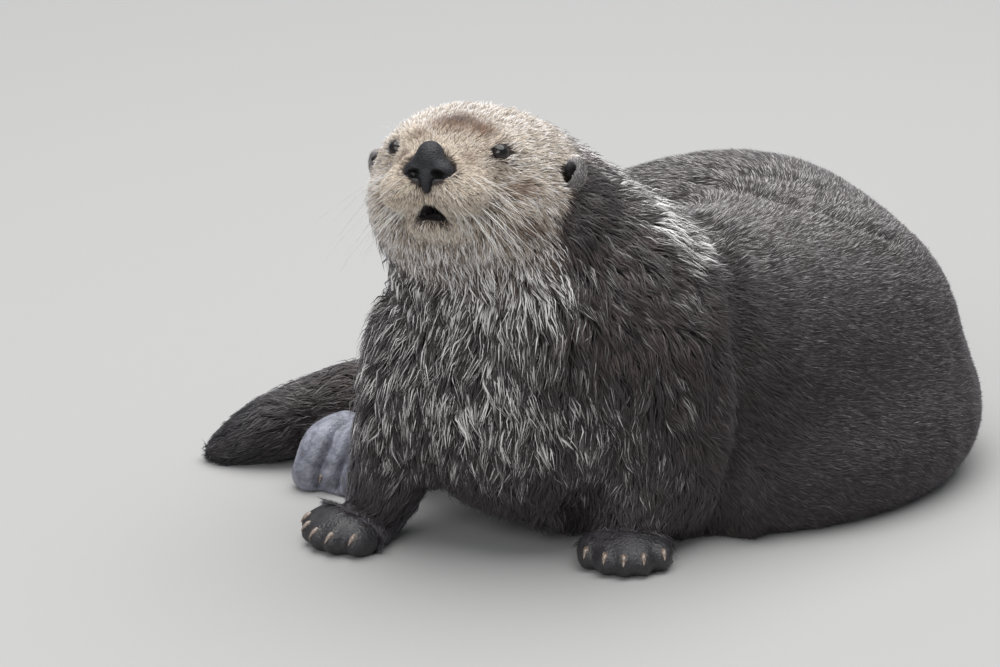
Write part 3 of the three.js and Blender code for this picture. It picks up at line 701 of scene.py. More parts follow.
# ---------------------------------------------------------------- shader building
class Nodes:
    """Adds nodes to a tree and joins them: an input is a socket, or a plain value."""

    def __init__(self, tree):
        self.tree = tree
        tree.nodes.clear()

    def add(self, kind, inputs=None, **settings):
        node = self.tree.nodes.new(kind)
        for name, value in settings.items():
            setattr(node, name, value)
        for name, value in (inputs or {}).items():
            socket = node.inputs[name]
            if isinstance(value, bpy.types.NodeSocket):
                self.tree.links.new(value, socket)
            else:
                socket.default_value = value
        return node

    def maths(self, operation, a, b=0.0, clamp=False):
        return self.add("ShaderNodeMath", {0: a, 1: b}, operation=operation, use_clamp=clamp).outputs[0]

    def mix(self, factor, a, b):
        node = self.add("ShaderNodeMix", {0: factor, 6: a, 7: b}, data_type="RGBA")
        return node.outputs[2]

    def step(self, value, low, high, out_low=0.0, out_high=1.0):
        node = self.add(
            "ShaderNodeMapRange", {0: value, 1: low, 2: high, 3: out_low, 4: out_high},
            interpolation_type="SMOOTHSTEP",
        )
        return node.outputs[0]

    def noise(self, vector, scale, detail=3.0, roughness=0.55):
        given = {"Vector": vector, "Scale": scale, "Detail": detail, "Roughness": roughness}
        node = self.add("ShaderNodeTexNoise", given)
        return node.outputs["Fac"]


def rgba(colour):
    return (*colour, 1.0)


def new_material(name):
    made = bpy.data.materials.new(name)
    made.use_nodes = True
    return made, Nodes(made.node_tree)


def group_of(name, inputs, outputs):
    """A node group with colour, value or vector sockets; returns it, its Nodes and its input node."""
    made = bpy.data.node_groups.new(name, "ShaderNodeTree")
    for label, kind in inputs:
        made.interface.new_socket(label, in_out="INPUT", socket_type=kind)
    for label, kind in outputs:
        made.interface.new_socket(label, in_out="OUTPUT", socket_type=kind)
    nodes = Nodes(made)
    return made, nodes, nodes.add("NodeGroupInput")


def pelt_group():
    """The pelt's colour and height from the marks on the surface, for skin and coat alike.

    The attribute marks holds paleness, silver, rust and bareness. The attribute lock holds how far along
    its lock a point is, the lock's own chance and how wet it is.
    """
    existing = bpy.data.node_groups.get("otter_pelt")
    if existing:
        return existing
    colour, value = "NodeSocketColor", "NodeSocketFloat"
    made, n, given = group_of(
        "otter_pelt",
        [("Dark", colour), ("Brown", colour), ("Cream", colour), ("Silver", colour), ("Rust", colour)],
        [("Colour", colour), ("Roughness", value), ("Height", value)],
    )
    marks = n.add("ShaderNodeAttribute", attribute_name="marks")
    pale, silver, rust = n.add("ShaderNodeSeparateColor", {0: marks.outputs["Color"]}).outputs
    lock = n.add("ShaderNodeAttribute", attribute_name="lock")
    along, chance, wet = n.add("ShaderNodeSeparateColor", {0: lock.outputs["Color"]}).outputs
    place = n.add("ShaderNodeTexCoord").outputs["Object"]
    blotch = n.noise(place, 38.0)
    mottle = n.noise(place, 130.0, 2.0)
    fine = n.noise(place, 420.0, 2.0)

    mottled = n.maths("ADD", n.maths("MULTIPLY", blotch, 0.75), n.maths("MULTIPLY", mottle, 0.55))
    shade = n.maths("ADD", pale, n.maths("MULTIPLY", n.maths("SUBTRACT", mottled, 0.65), pale))
    low = n.mix(n.step(shade, 0.05, 0.55), given.outputs["Dark"], given.outputs["Brown"])
    high = n.mix(n.step(shade, 0.20, 0.78), low, given.outputs["Cream"])
    base = n.mix(n.step(along, 0.10, 0.80), low, high)
    rusty = n.maths("MULTIPLY", rust, n.step(blotch, 0.35, 0.62, 0.45, 1.0))
    base = n.mix(n.maths("MULTIPLY", rusty, n.step(along, 1.0, 0.3, 0.5, 1.0)), base, given.outputs["Rust"])
    lit = n.maths("ADD", 0.42, n.maths("MULTIPLY", chance, 1.20))
    # Each lock is painted darker towards its root: painted shade between the locks.
    lit = n.maths("MULTIPLY", lit, n.step(along, 0.0, 0.60, 0.28, 1.0))
    # A paleness below 0 makes the lock darker still: painted shade.
    lit = n.maths("MULTIPLY", lit, n.step(pale, -0.30, 0.0, 0.25, 1.0))
    shown = n.add("ShaderNodeHueSaturation", {"Value": lit, "Color": base}).outputs[0]
    fleck = n.mix(n.step(silver, 0.15, 0.50), rgba((0.105, 0.097, 0.098)), given.outputs["Silver"])
    tipped = n.step(n.maths("ADD", chance, n.maths("SUBTRACT", silver, 1.0)), 0.0, 0.22)
    tipped = n.maths("MULTIPLY", tipped, n.step(along, 0.08, 0.60))
    shown = n.mix(tipped, shown, fleck)
    out = n.add("NodeGroupOutput")
    n.tree.links.new(shown, out.inputs["Colour"])
    n.tree.links.new(n.step(wet, 0.0, 1.0, 0.62, 0.36), out.inputs["Roughness"])
    n.tree.links.new(fine, out.inputs["Height"])
    return made


def place_pelt(n, colours):
    node = n.add("ShaderNodeGroup", node_tree=pelt_group())
    for name in ("Dark", "Brown", "Cream", "Silver", "Rust"):
        node.inputs[name].default_value = rgba(getattr(colours, name.lower()))
    return node


def finish_surface(n, settings, normal=None):
    shader = n.add("ShaderNodeBsdfPrincipled", settings)
    if normal is not None:
        n.tree.links.new(normal, shader.inputs["Normal"])
    out = n.add("ShaderNodeOutputMaterial")
    n.tree.links.new(shader.outputs[0], out.inputs["Surface"])
    return shader


def coat_material(colours):
    made, n = new_material("otter_coat")
    pelt = place_pelt(n, colours)
    finish_surface(n, {
        "Base Color": pelt.outputs["Colour"], "Roughness": pelt.outputs["Roughness"],
        "Specular IOR Level": 0.4,
        "Sheen Weight": 0.42, "Sheen Roughness": 0.5, "Sheen Tint": rgba((0.96, 0.94, 1.0)),
    })
    return made


def skin_material(colours):
    made, n = new_material("otter_skin")
    pelt = place_pelt(n, colours)
    marks = n.add("ShaderNodeAttribute", attribute_name="marks")
    foot = n.add("ShaderNodeAttribute", attribute_name="foot").outputs["Fac"]
    place = n.add("ShaderNodeTexCoord").outputs["Object"]
    cells = n.add("ShaderNodeTexVoronoi", {"Vector": place, "Scale": 520.0}, feature="SMOOTH_F1")
    creases = n.noise(place, 90.0, 5.0, 0.65)
    bare_low = n.mix(foot, rgba(colours.paw), rgba(colours.foot))
    # The bare skin is darker where the creases' bump is low and lighter where it is high: painted shade in
    # the hollows and painted light on the ridges.
    lit = n.step(creases, 0.3, 0.7, 0.6, 1.5)
    bare = n.add("ShaderNodeHueSaturation", {"Value": lit, "Color": bare_low}).outputs[0]
    bare_rough = n.step(creases, 0.3, 0.7, 0.32, 0.52)
    bare_height = n.maths("ADD", cells.outputs["Distance"], creases)
    where_bare = marks.outputs["Alpha"]
    colour = n.mix(where_bare, pelt.outputs["Colour"], bare)
    rough = n.add("ShaderNodeMix", {0: where_bare, 2: pelt.outputs["Roughness"], 3: bare_rough}).outputs[0]
    height = n.add("ShaderNodeMix", {0: where_bare, 2: pelt.outputs["Height"], 3: bare_height}).outputs[0]
    bump = n.add("ShaderNodeBump", {"Strength": 0.5, "Distance": 0.0012, "Height": height})
    settings = {"Base Color": colour, "Roughness": rough, "Specular IOR Level": 0.45}
    finish_surface(n, settings, bump.outputs[0])
    return made


def ready(piece, name_of_slot, material, *nodes):
    """Gives a finished piece its material and body, hides the nodes it stands for; name_of_slot is not
    used.
    """
    piece.data.materials.clear()
    piece.data.materials.append(material)
    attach(piece, "root")
    if nodes:
        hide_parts(*nodes)


# ---------------------------------------------------------------- skin
def joined_flesh():
    """One mesh of copies of the flesh, with the nose and eyes filling their sockets."""
    made = bmesh.new()
    for name in [*FLESH, "nose", "eye_left", "eye_right"]:
        made.from_mesh(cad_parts[name].data)
    bmesh.ops.remove_doubles(made, verts=made.verts, dist=1e-6)
    mesh = bpy.data.meshes.new("flesh")
    made.to_mesh(mesh)
    made.free()
    return mesh


def remeshed(mesh, voxel):
    """The outer shell of a mesh of joined solids, remeshed with square faces."""
    source = new_object("flesh", mesh)
    step = source.modifiers.new("join", "REMESH")
    step.mode = "VOXEL"
    step.voxel_size = voxel
    depsgraph = bpy.context.evaluated_depsgraph_get()
    made = bpy.data.meshes.new_from_object(source.evaluated_get(depsgraph))
    bpy.data.objects.remove(source)
    return made


def largest_shell(made):
    """Keeps only the largest connected shell of a bmesh."""
    left = set(made.verts)
    best = set()
    while left:
        seed = next(iter(left))
        shell, edge = {seed}, [seed]
        while edge:
            v = edge.pop()
            for e in v.link_edges:
                w = e.other_vert(v)
                if w not in shell:
                    shell.add(w)
                    edge.append(w)
        left -= shell
        if len(shell) > len(best):
            best = shell
    bmesh.ops.delete(made, geom=[v for v in made.verts if v not in best], context="VERTS")


def coat_depth(p):
    """How far the skin lies inside the coat's outside at points p."""
    return coat_values(p)["depth"] * (1 - bareness(p)) + 0.2


def everywhere(p):
    return np.ones(len(p), bool)


def even_out(made, verts):
    bmesh.ops.smooth_vert(made, verts=verts, factor=0.5, use_axis_x=True, use_axis_y=True, use_axis_z=True)


def settle_skin(made, rounds, relax, chosen=everywhere):
    """Moves the chosen points of a bmesh to where the skin lies, evening them out along it."""
    verts = np.array(made.verts, dtype=object)
    verts = list(verts[chosen(in_body(verts))])
    for i in range(rounds):
        if i < relax:
            even_out(made, verts)
        p = in_body(verts)
        value = COAT_FIELD(p)
        grad = slope(COAT_FIELD, p, value)
        steep = np.maximum((grad * grad).sum(1), 0.2)
        move = -((value + coat_depth(p) + fold_depth(p)) / steep)[:, None] * grad
        move *= np.minimum(1, 9 / np.maximum(length(move), 1e-9))[:, None]
        p += move
        p[:, 2] = np.maximum(p[:, 2], 0.3)
        for v, place in zip(verts, to_row(p)):
            v.co = place


CREASES = [
    # places on the coat, depth and half width of the crease in millimetres
    ([
        (170, 169, 246), (184, 115, 223), (193, 85, 188), (203, 76, 137),
        (201, 73, 85), (192, 66, 46), (178, 78, 9),
    ], 12.0, 12.0),
    ([(208, 149, 230), (220, 119, 206), (228, 97, 171), (231, 88, 126)], 5.0, 9.0),
    ([(248, 155, 218), (257, 129, 194), (259, 107, 158)], 3.0, 8.0),
    ([
        (170, 325, 229), (194, 304, 231), (216, 282, 234), (247, 251, 235),
        (273, 251, 228), (299, 244, 218), (328, 251, 203),
    ], 4.5, 6.0),
    ([(182, 344, 236), (213, 322, 236), (247, 313, 234), (275, 304, 229)], 2.0, 6.0),
    ([(74, 12, 190), (67, 13, 124), (65, 29, 74), (68, 58, 27)], 7.0, 11.0),
    (UNDER_CHIN, 4.5, 8.0),
]


def toe_slots(p):
    """1 midway between two toes of a hind foot, falling to 0 on the toes."""
    made = np.zeros(len(p))
    for foot in (RIGHT_FOOT, LEFT_FOOT):
        near = length(p - np.mean(foot[2], axis=0)) < 85
        if not near.any():
            continue
        away = [run_distance(p[near], [place[:3] for place in toe[1:]]) for toe in foot_spread(*foot)]
        for one, two in zip(away[:-1], away[1:]):
            slot = np.exp(-(((one - two) / 3.2) ** 2)) * smooth(34, 22, np.minimum(one, two))
            made[near] = np.maximum(made[near], slot)
    return made


def mouth_share(p):
    """1 in the open mouth and 0 off it: narrow under the nose and wide at the lower lip."""
    q = seen_from(HEAD, p)
    down = (MOUTH_TOP - q[:, 2] - 0.012 * q[:, 0] ** 2) / MOUTH_HEIGHT
    half = MOUTH_HALF_TOP + (MOUTH_HALF_LIP - MOUTH_HALF_TOP) * np.clip(down, 0, 1)
    sides = smooth(2.2, -1.2, np.abs(q[:, 0]) - half)
    return sides * smooth(-0.15, 0.15, down) * smooth(1.15, 0.9, down) * smooth(-70, -80, q[:, 1])


def fold_depth(p):
    """The creases, slots, mouth and hollows of the skin, as a depth in millimetres."""
    made = np.zeros(len(p))
    for run, deep, wide in CREASES:
        away = run_distance(p, run)
        made += deep * (np.exp(-((away / wide) ** 2)) - 0.3 * np.exp(-(((away - 2.3 * wide) / wide) ** 2)))
    ripple = np.sin((p @ np.array((0.75, 0.62, 0.05))) / 6.0 + noise_at(p, 120, 5) * 1.8)
    on_flank = patch(p, (385, 230, 110), (60, 110, 80))
    made += on_flank * ripple
    made += 5.0 * toe_slots(p) * (p[:, 2] > 4)
    made += MOUTH_DEPTH * mouth_share(p)
    q = seen_from(HEAD, p)
    lip = np.exp(-((q[:, 0] / 13) ** 2) - ((q[:, 1] + 95) / 14) ** 2 - ((q[:, 2] + 44.5) / 2.6) ** 2)
    made -= 1.5 * lip
    return made + 7.0 * smooth(1.5, -2.5, NOSE_FIELD(p))


def refine(made, near):
    """Halves the edges whose ends both satisfy `near`, a test of points in millimetres."""
    chosen = near(in_body(made.verts))
    made.verts.index_update()
    edges = [e for e in made.edges if chosen[e.verts[0].index] and chosen[e.verts[1].index]]
    bmesh.ops.subdivide_edges(made, edges=edges, cuts=1, use_grid_fill=True)


HIND_FOOT_BALLS = [((-118, 206, 26), 62), ((-76, 438, 16), 60)]  # each one's middle and reach


def near_detail(p):
    """True on the head's front, the paws and the hind feet."""
    q = seen_from(HEAD, p)
    face = (q[:, 1] < -24) & (length(q - (0, -66, -12)) < 88)
    paws = np.zeros(len(p), bool)
    for paw in (RIGHT_PAW, LEFT_PAW):
        paws |= length(seen_from(paw, p) - (0, -28, 12)) < 52
    for middle, reach in HIND_FOOT_BALLS:
        paws |= length(p - middle) < reach
    return face | paws


def near_fine_detail(p):
    """True round the eyes and mouth and on the toes."""
    q = seen_from(HEAD, p)
    chosen = length(q - (0, -98, -36)) < 22
    for s in (-1, 1):
        chosen |= length(p - eye_axes(s)[0]) < 21
    for paw in (RIGHT_PAW, LEFT_PAW):
        q = seen_from(paw, p)
        chosen |= (q[:, 1] < -22) & (length(q - (0, -36, 10)) < 48)
    for foot in (RIGHT_FOOT, LEFT_FOOT):
        chosen |= (foot_field(*foot)(p) < 3) & (length(p - np.mean(foot[2], axis=0)) < 44)
    return chosen


def near_lids(p):
    """True on the lids and lips."""
    q = seen_from(HEAD, p)
    chosen = (np.abs(q[:, 0]) < 16) & (q[:, 1] < -78) & (np.abs(q[:, 2] + 36) < 10)
    for s in (-1, 1):
        chosen |= length(p - eye_axes(s)[0]) < 14
    return chosen


def eye_axes(s):
    """The eye's centre in body millimetres and its forward, sideways and upward directions."""
    centre = placed(HEAD, (s * EYE_PLACE[0], EYE_PLACE[1], EYE_PLACE[2]))
    forward = unit(turned(HEAD, (s * 0.60, -0.74, 0.30)))
    up = turned(HEAD, (0, 0.25, 1))
    side = unit(np.cross(forward, up)) * -s
    return centre, forward, side, unit(np.cross(side, forward)) * s


def lid_measure(u, v):
    """1 on the edge of the lids, less inside their opening. u points towards the nose and v up."""
    corner = 1 + 0.16 * smooth(2, 8, u)
    across = u / LID_HALF_WIDTH / corner
    upward = v / np.where(v > 0, UPPER_LID, LOWER_LID) * (1 + 0.05 * np.maximum(u, 0))
    return np.sqrt(across**2 + upward**2)


def open_lids(made):
    """Forms the lids: a rim that stands just off each eyeball, with the skin inside it behind the ball."""
    p = in_body(made.verts)
    for s in (-1, 1):
        centre, forward, side, up = eye_axes(s)
        q = p - centre
        r = length(q)
        u, v, a = q @ side, q @ up, q @ forward
        e = lid_measure(u, v)
        rim = EYE_RADIUS - 2.2 + 3.0 * smooth(0.88, 1.06, e)
        hold = (1 - smooth(1.25, 2.3, e)) * smooth(-4, 2, a)
        hold[r > 3 * EYE_RADIUS] = 0
        wanted = np.where(e < 1.1, rim, np.maximum(rim, np.minimum(r, rim + 30)))
        target = r * (1 - hold) + wanted * hold
        p = centre + q * (target / np.maximum(r, 1e-6))[:, None]
    for vert, place in zip(made.verts, to_row(p)):
        vert.co = place


def unwrap(piece):
    """An unwrap of the piece's own shape, named OFBake."""
    piece.data.uv_layers.new(name="OFBake")
    for o in bpy.context.selected_objects:
        o.select_set(False)
    bpy.context.view_layer.objects.active = piece
    piece.select_set(True)
    bpy.ops.object.mode_set(mode="EDIT")
    bpy.ops.mesh.select_all(action="SELECT")
    bpy.ops.uv.smart_project(angle_limit=math.radians(66), island_margin=0.002)
    bpy.ops.object.mode_set(mode="OBJECT")


class OTTER_OT_skin(bpy.types.Operator):
    """Joins the flesh into one skin that lies inside the coat, with lids, folds, lips and toes"""

    bl_idname = "otter.skin"
    bl_label = "Skin"

    def execute(self, context):
        sizes, colours = context.scene.otter_sizes, context.scene.otter_colours
        made = bmesh.new()
        made.from_mesh(remeshed(joined_flesh(), sizes.skin_voxel))
        largest_shell(made)
        settle_skin(made, 5, 3)
        for chosen in (near_detail, near_fine_detail, near_lids):
            refine(made, chosen)
            settle_skin(made, 3, 2, chosen)
        open_lids(made)
        if made.calc_volume(signed=True) < 0:
            bmesh.ops.reverse_faces(made, faces=made.faces)
        mesh = bpy.data.meshes.new("skin")
        made.to_mesh(mesh)
        made.free()
        shade_smooth(mesh)
        self.mark(mesh)
        skin = new_object("skin", mesh)
        unwrap(skin)
        ready(skin, "dark_coat", skin_material(colours), *FLESH)
        return {"FINISHED"}

    def mark(self, mesh):
        """Marks the skin as the coat is marked, with the lids' rims, the mouth and the feet bare."""
        p = from_row(mesh_points(mesh))
        pale, silver, rust, bare = markings_and_shade(p)
        rims = np.zeros(len(p))
        for s in (-1, 1):
            centre, forward, side, up = eye_axes(s)
            q = p - centre
            e = lid_measure(q @ side, q @ up)
            rims = np.maximum(rims, smooth(1.20, 1.08, e) * smooth(-2, 2, q @ forward))
        bare = np.maximum(bare, np.maximum(rims, smooth(0.1, 0.5, mouth_share(p))))
        set_colours(mesh, "marks", pale, silver, rust, bare)
        # The skin takes the colour of the locks' roots: their undercoat colour and the painted shade that
        # darkens them.
        set_colours(mesh, "lock", np.full(len(p), 0.12), np.full(len(p), 0.3), np.zeros(len(p)))
        foot = mesh.attributes.new("foot", "FLOAT", "POINT")
        on_hind_feet = smooth(170, 190, p[:, 1]) * smooth(40, 20, p[:, 0])
        foot.data.foreach_set("value", on_hind_feet.astype(np.float32))


# ---------------------------------------------------------------- eyes
BULGE = 0.7  # how far the clear front stands out in millimetres
BULGE_SHARE = 0.62  # how wide it is, of the whole eye


def eye_material():
    """A wet dark eye: a brown iris round a black pupil, from the distance to the eye's own axis."""
    made, n = new_material("otter_eye")
    ring = n.add("ShaderNodeAttribute", attribute_name="ring").outputs["Fac"]
    place = n.add("ShaderNodeTexCoord").outputs["Object"]
    rays = n.noise(place, 900.0, 4.0)
    iris = n.mix(n.step(rays, 0.35, 0.65), rgba((0.006, 0.004, 0.004)), rgba((0.020, 0.012, 0.009)))
    colour = n.mix(n.step(ring, 0.30, 0.36), rgba((0.002, 0.002, 0.002)), iris)
    colour = n.mix(n.step(ring, 0.70, 0.80), colour, rgba((0.006, 0.004, 0.004)))
    finish_surface(n, {
        "Base Color": colour, "Roughness": 0.3, "Specular IOR Level": 0.1,
        "Coat Weight": 0.75, "Coat Roughness": 0.06,
    })
    return made


class OTTER_OT_eyes(bpy.types.Operator):
    """Makes both eyeballs, each with a front that bulges a little"""

    bl_idname = "otter.eyes"
    bl_label = "Eyes"

    def execute(self, context):
        material = eye_material()
        for side_name, s in SIDES.items():
            centre, forward, side, _ = eye_axes(s)
            made = bmesh.new()
            bmesh.ops.create_uvsphere(made, u_segments=48, v_segments=32, radius=EYE_RADIUS)
            turn = Matrix(np.stack([side, np.cross(forward, side), forward], 1).tolist()).to_4x4()
            for v in made.verts:
                out = math.hypot(v.co.x, v.co.y) / EYE_RADIUS
                if v.co.z > 0 and out < BULGE_SHARE:
                    v.co.z += BULGE * (1 - (out / BULGE_SHARE) ** 2)
            rings = [math.hypot(v.co.x, v.co.y) / EYE_RADIUS if v.co.z > 0 else 1.0 for v in made.verts]
            bmesh.ops.transform(made, matrix=turn, verts=made.verts)
            for v in made.verts:
                v.co = to_row(np.array(v.co) + centre)
            bmesh.ops.recalc_face_normals(made, faces=made.faces)
            mesh = bpy.data.meshes.new("eyeball_" + side_name)
            made.to_mesh(mesh)
            made.free()
            shade_smooth(mesh)
            layer = mesh.attributes.new("ring", "FLOAT", "POINT")
            layer.data.foreach_set("value", rings)
            ready(new_object("eyeball_" + side_name, mesh), "eye", material, "eye_" + side_name)
        return {"FINISHED"}


# ---------------------------------------------------------------- nose
def leather_group():
    """Fine pebbled skin: a colour and a height, for the nose and ears."""
    existing = bpy.data.node_groups.get("otter_leather")
    if existing:
        return existing
    colour, value = "NodeSocketColor", "NodeSocketFloat"
    made, n, given = group_of(
        "otter_leather",
        [("Skin", colour), ("Pebble scale", value)],
        [("Colour", colour), ("Roughness", value), ("Height", value)],
    )
    place = n.add("ShaderNodeTexCoord").outputs["Object"]
    scale = given.outputs["Pebble scale"]
    cells = n.add("ShaderNodeTexVoronoi", {"Vector": place, "Scale": scale}, feature="SMOOTH_F1")
    patches = n.noise(place, 60.0)
    # Each pebble is lighter on its top and darker towards the grooves round it: painted light and shade.
    lit_pebbles = n.step(cells.outputs["Distance"], 0.0, 0.7, 1.2, 0.7)
    lit = n.maths("MULTIPLY", n.step(patches, 0.3, 0.7, 0.65, 1.5), lit_pebbles)
    shown = n.add("ShaderNodeHueSaturation", {"Value": lit, "Color": given.outputs["Skin"]}).outputs[0]
    out = n.add("NodeGroupOutput")
    n.tree.links.new(shown, out.inputs["Colour"])
    n.tree.links.new(n.step(patches, 0.3, 0.7, 0.42, 0.6), out.inputs["Roughness"])
    n.tree.links.new(n.maths("SUBTRACT", 1.0, cells.outputs["Distance"]), out.inputs["Height"])
    return made


def leather_material(name, colour, pebbles, depth):
    """Pebbled skin that darkens to black where the attribute deep is 1. depth is the pebbles' in metres."""
    made, n = new_material(name)
    leather = n.add("ShaderNodeGroup", node_tree=leather_group())
    leather.inputs["Skin"].default_value = rgba(colour)
    leather.inputs["Pebble scale"].default_value = pebbles
    height = leather.outputs["Height"]
    bump = n.add("ShaderNodeBump", {"Strength": 0.6, "Distance": depth, "Height": height})
    deep = n.add("ShaderNodeAttribute", attribute_name="deep").outputs["Fac"]
    # Near black where deep is 1: painted shade inside the nostrils and the ears' openings.
    colour = n.mix(deep, leather.outputs["Colour"], rgba((0.0012, 0.0010, 0.0010)))
    rough = n.add("ShaderNodeMix", {0: deep, 2: leather.outputs["Roughness"], 3: 0.95})
    finish_surface(n, {
        "Base Color": colour, "Roughness": rough.outputs[0], "Specular IOR Level": 0.35,
    }, bump.outputs[0])
    return made


def shrunk_ball(centre, field, reach, cuts=6):
    """A fine ball drawn in along its radii onto a field's surface, in body millimetres."""
    made = bmesh.new()
    bmesh.ops.create_icosphere(made, subdivisions=cuts, radius=1.0)
    ways = unit(np.array([v.co for v in made.verts]))
    near, far = np.zeros(len(ways)), np.full(len(ways), float(reach))
    for _ in range(22):
        middle = (near + far) / 2
        inside = field(centre + ways * middle[:, None]) < 0
        near = np.where(inside, middle, near)
        far = np.where(inside, far, middle)
    for v, place in zip(made.verts, centre + ways * near[:, None]):
        v.co = place
    return made


def bmesh_piece(name, made, depth):
    """A finished object from a bmesh in body millimetres. depth gives its attribute deep at points."""
    deep = np.clip(depth(np.array([v.co for v in made.verts])), 0, 1)
    for v in made.verts:
        v.co = to_row(np.array(v.co))
    bmesh.ops.recalc_face_normals(made, faces=made.faces)
    mesh = bpy.data.meshes.new(name)
    made.to_mesh(mesh)
    made.free()
    shade_smooth(mesh)
    layer = mesh.attributes.new("deep", "FLOAT", "POINT")
    layer.data.foreach_set("value", deep.astype(np.float32))
    return new_object(name, mesh)


class OTTER_OT_nose(bpy.types.Operator):
    """Makes the bare nose pad with its nostrils and the strip down to the lip"""

    bl_idname = "otter.nose"
    bl_label = "Nose"

    def execute(self, context):
        colours = context.scene.otter_colours
        made = shrunk_ball(placed(HEAD, NOSE_PLACE), NOSE_FIELD, NOSE_WIDTH)
        even_out(made, made.verts)
        # deep is 1 inside the nostrils: painted shade there.
        piece = bmesh_piece("nose_pad", made, lambda p: smooth(2.2, 0.8, NOSTRILS(p)))
        ready(piece, "nose_skin", leather_material("otter_nose", colours.nose, 800.0, 0.0011), "nose")
        return {"FINISHED"}


# ---------------------------------------------------------------- ears
def ear_shapes(s):
    """An ear's frame, the outside of its cup and the hollow in it."""
    ear = HEAD @ frame_at((s * EAR_PLACE[0], EAR_PLACE[1], EAR_PLACE[2]), (s * -24, 18, s * 14))
    shell = mass((0, 0, 0), (8, 11, EAR_HEIGHT / 2 + 1.5), (0, 0, 0), ear)
    hollow = mass((s * -2.2, -9, 1), (4.2, 11, EAR_HEIGHT / 2 - 1.5), (0, s * -16, s * 30), ear)
    return ear, shell, hollow


class OTTER_OT_ears(bpy.types.Operator):
    """Makes both ears: small thick cups rolled forward"""

    bl_idname = "otter.ears"
    bl_label = "Ears"

    def execute(self, context):
        material = leather_material("otter_ear", (0.185, 0.172, 0.176), 700.0, 0.0005)
        for seed, (side_name, s) in enumerate(SIDES.items()):
            ear, shell, hollow = ear_shapes(s)
            thick_part = placed(ear, (s * 1.5, 6.5, 0))
            made = shrunk_ball(thick_part, lambda p: np.maximum(shell(p), -hollow(p)), 40, 5)
            # deep is 1 in the cup's hollow: painted shade in the ear's opening.
            piece = bmesh_piece("ear_cup_" + side_name, made, lambda p: smooth(1.2, 0.0, hollow(p)))
            ready(piece, "ear_skin", material, "ear_" + side_name)
            unwrap(piece)
            self.fur(context, piece, side_name, ear, hollow, np.random.default_rng(40 + seed))
        return {"FINISHED"}

    def fur(self, context, piece, side_name, ear, hollow, rng):
        """Short hair over the outside of an ear's cup."""
        name = "coat_ear_" + side_name
        places, normals, uv = scattered(piece.data, lambda p: 0.9 * smooth(1.0, 3.5, hollow(p)), rng)
        count = len(places)
        values = {
            "lie": np.tile(turned(ear, unit(np.array((0.0, 0.35, 1.0)))), (count, 1)),
            "length": np.full(count, 3.0), "width": np.full(count, 0.7), "depth": np.full(count, 0.5),
            "gather": np.full(count, 0.15),
        }
        *spine, side, width = grow("face", places, normals, values, rng)
        marks = [np.full(count, share) for share in (0.42, 0.60, 0.05)]
        lock = rng.random(count), np.zeros(count)
        made = hair_mesh(name, "face", spine, side, normals, width, marks, lock, uv)
        ready(new_object(name, made), "grey_coat", coat_material(context.scene.otter_colours))


# ---------------------------------------------------------------- claws and whiskers
WHISKER_ROWS = 5
WHISKER_COLUMNS = 6
BROW_WHISKERS = 4  # over each eye


def tube(points, radii, segments):
    """The points and faces of a closed tube along points, tapering through radii."""
    points = np.asarray(points, float)
    ways = unit(np.gradient(points, axis=0))
    side = unit(np.cross(ways, (0.13, 0.21, 0.97)))
    rise = np.cross(ways, side)
    angles = np.arange(segments) * 2 * math.pi / segments
    ring = np.cos(angles)[None, :, None] * side[:, None] + np.sin(angles)[None, :, None] * rise[:, None]
    made = points[:, None] + ring * np.asarray(radii, float)[:, None, None]
    count = len(points)
    ends = points[:1] - ways[:1] * radii[0], points[-1:] + ways[-1:] * radii[-1]
    made = np.vstack([made.reshape(-1, 3), *ends])
    faces = []
    for i in range(count - 1):
        for j in range(segments):
            a, b = i * segments + j, i * segments + (j + 1) % segments
            faces.append((a, b, b + segments))
            faces.append((a, b + segments, a + segments))
    for j in range(segments):
        k = (j + 1) % segments
        last = (count - 1) * segments
        faces.append((count * segments, k, j))
        faces.append((count * segments + 1, last + j, last + k))
    return made, faces


def joined(parts):
    """One point and face list from several."""
    points, faces, start = [], [], 0
    for p, f in parts:
        points.append(p)
        faces.append(np.array(f) + start)
        start += len(p)
    return np.vstack(points), np.vstack(faces)


def claw_material():
    made, n = new_material("otter_claw")
    place = n.add("ShaderNodeTexCoord").outputs["Object"]
    streaks = n.noise(place, 500.0, 4.0)
    colour = n.mix(n.step(streaks, 0.3, 0.7), rgba((0.12, 0.085, 0.065)), rgba((0.34, 0.27, 0.22)))
    rough = n.step(streaks, 0.3, 0.7, 0.22, 0.4)
    finish_surface(n, {"Base Color": colour, "Roughness": rough, "Coat Weight": 0.5})
    return made


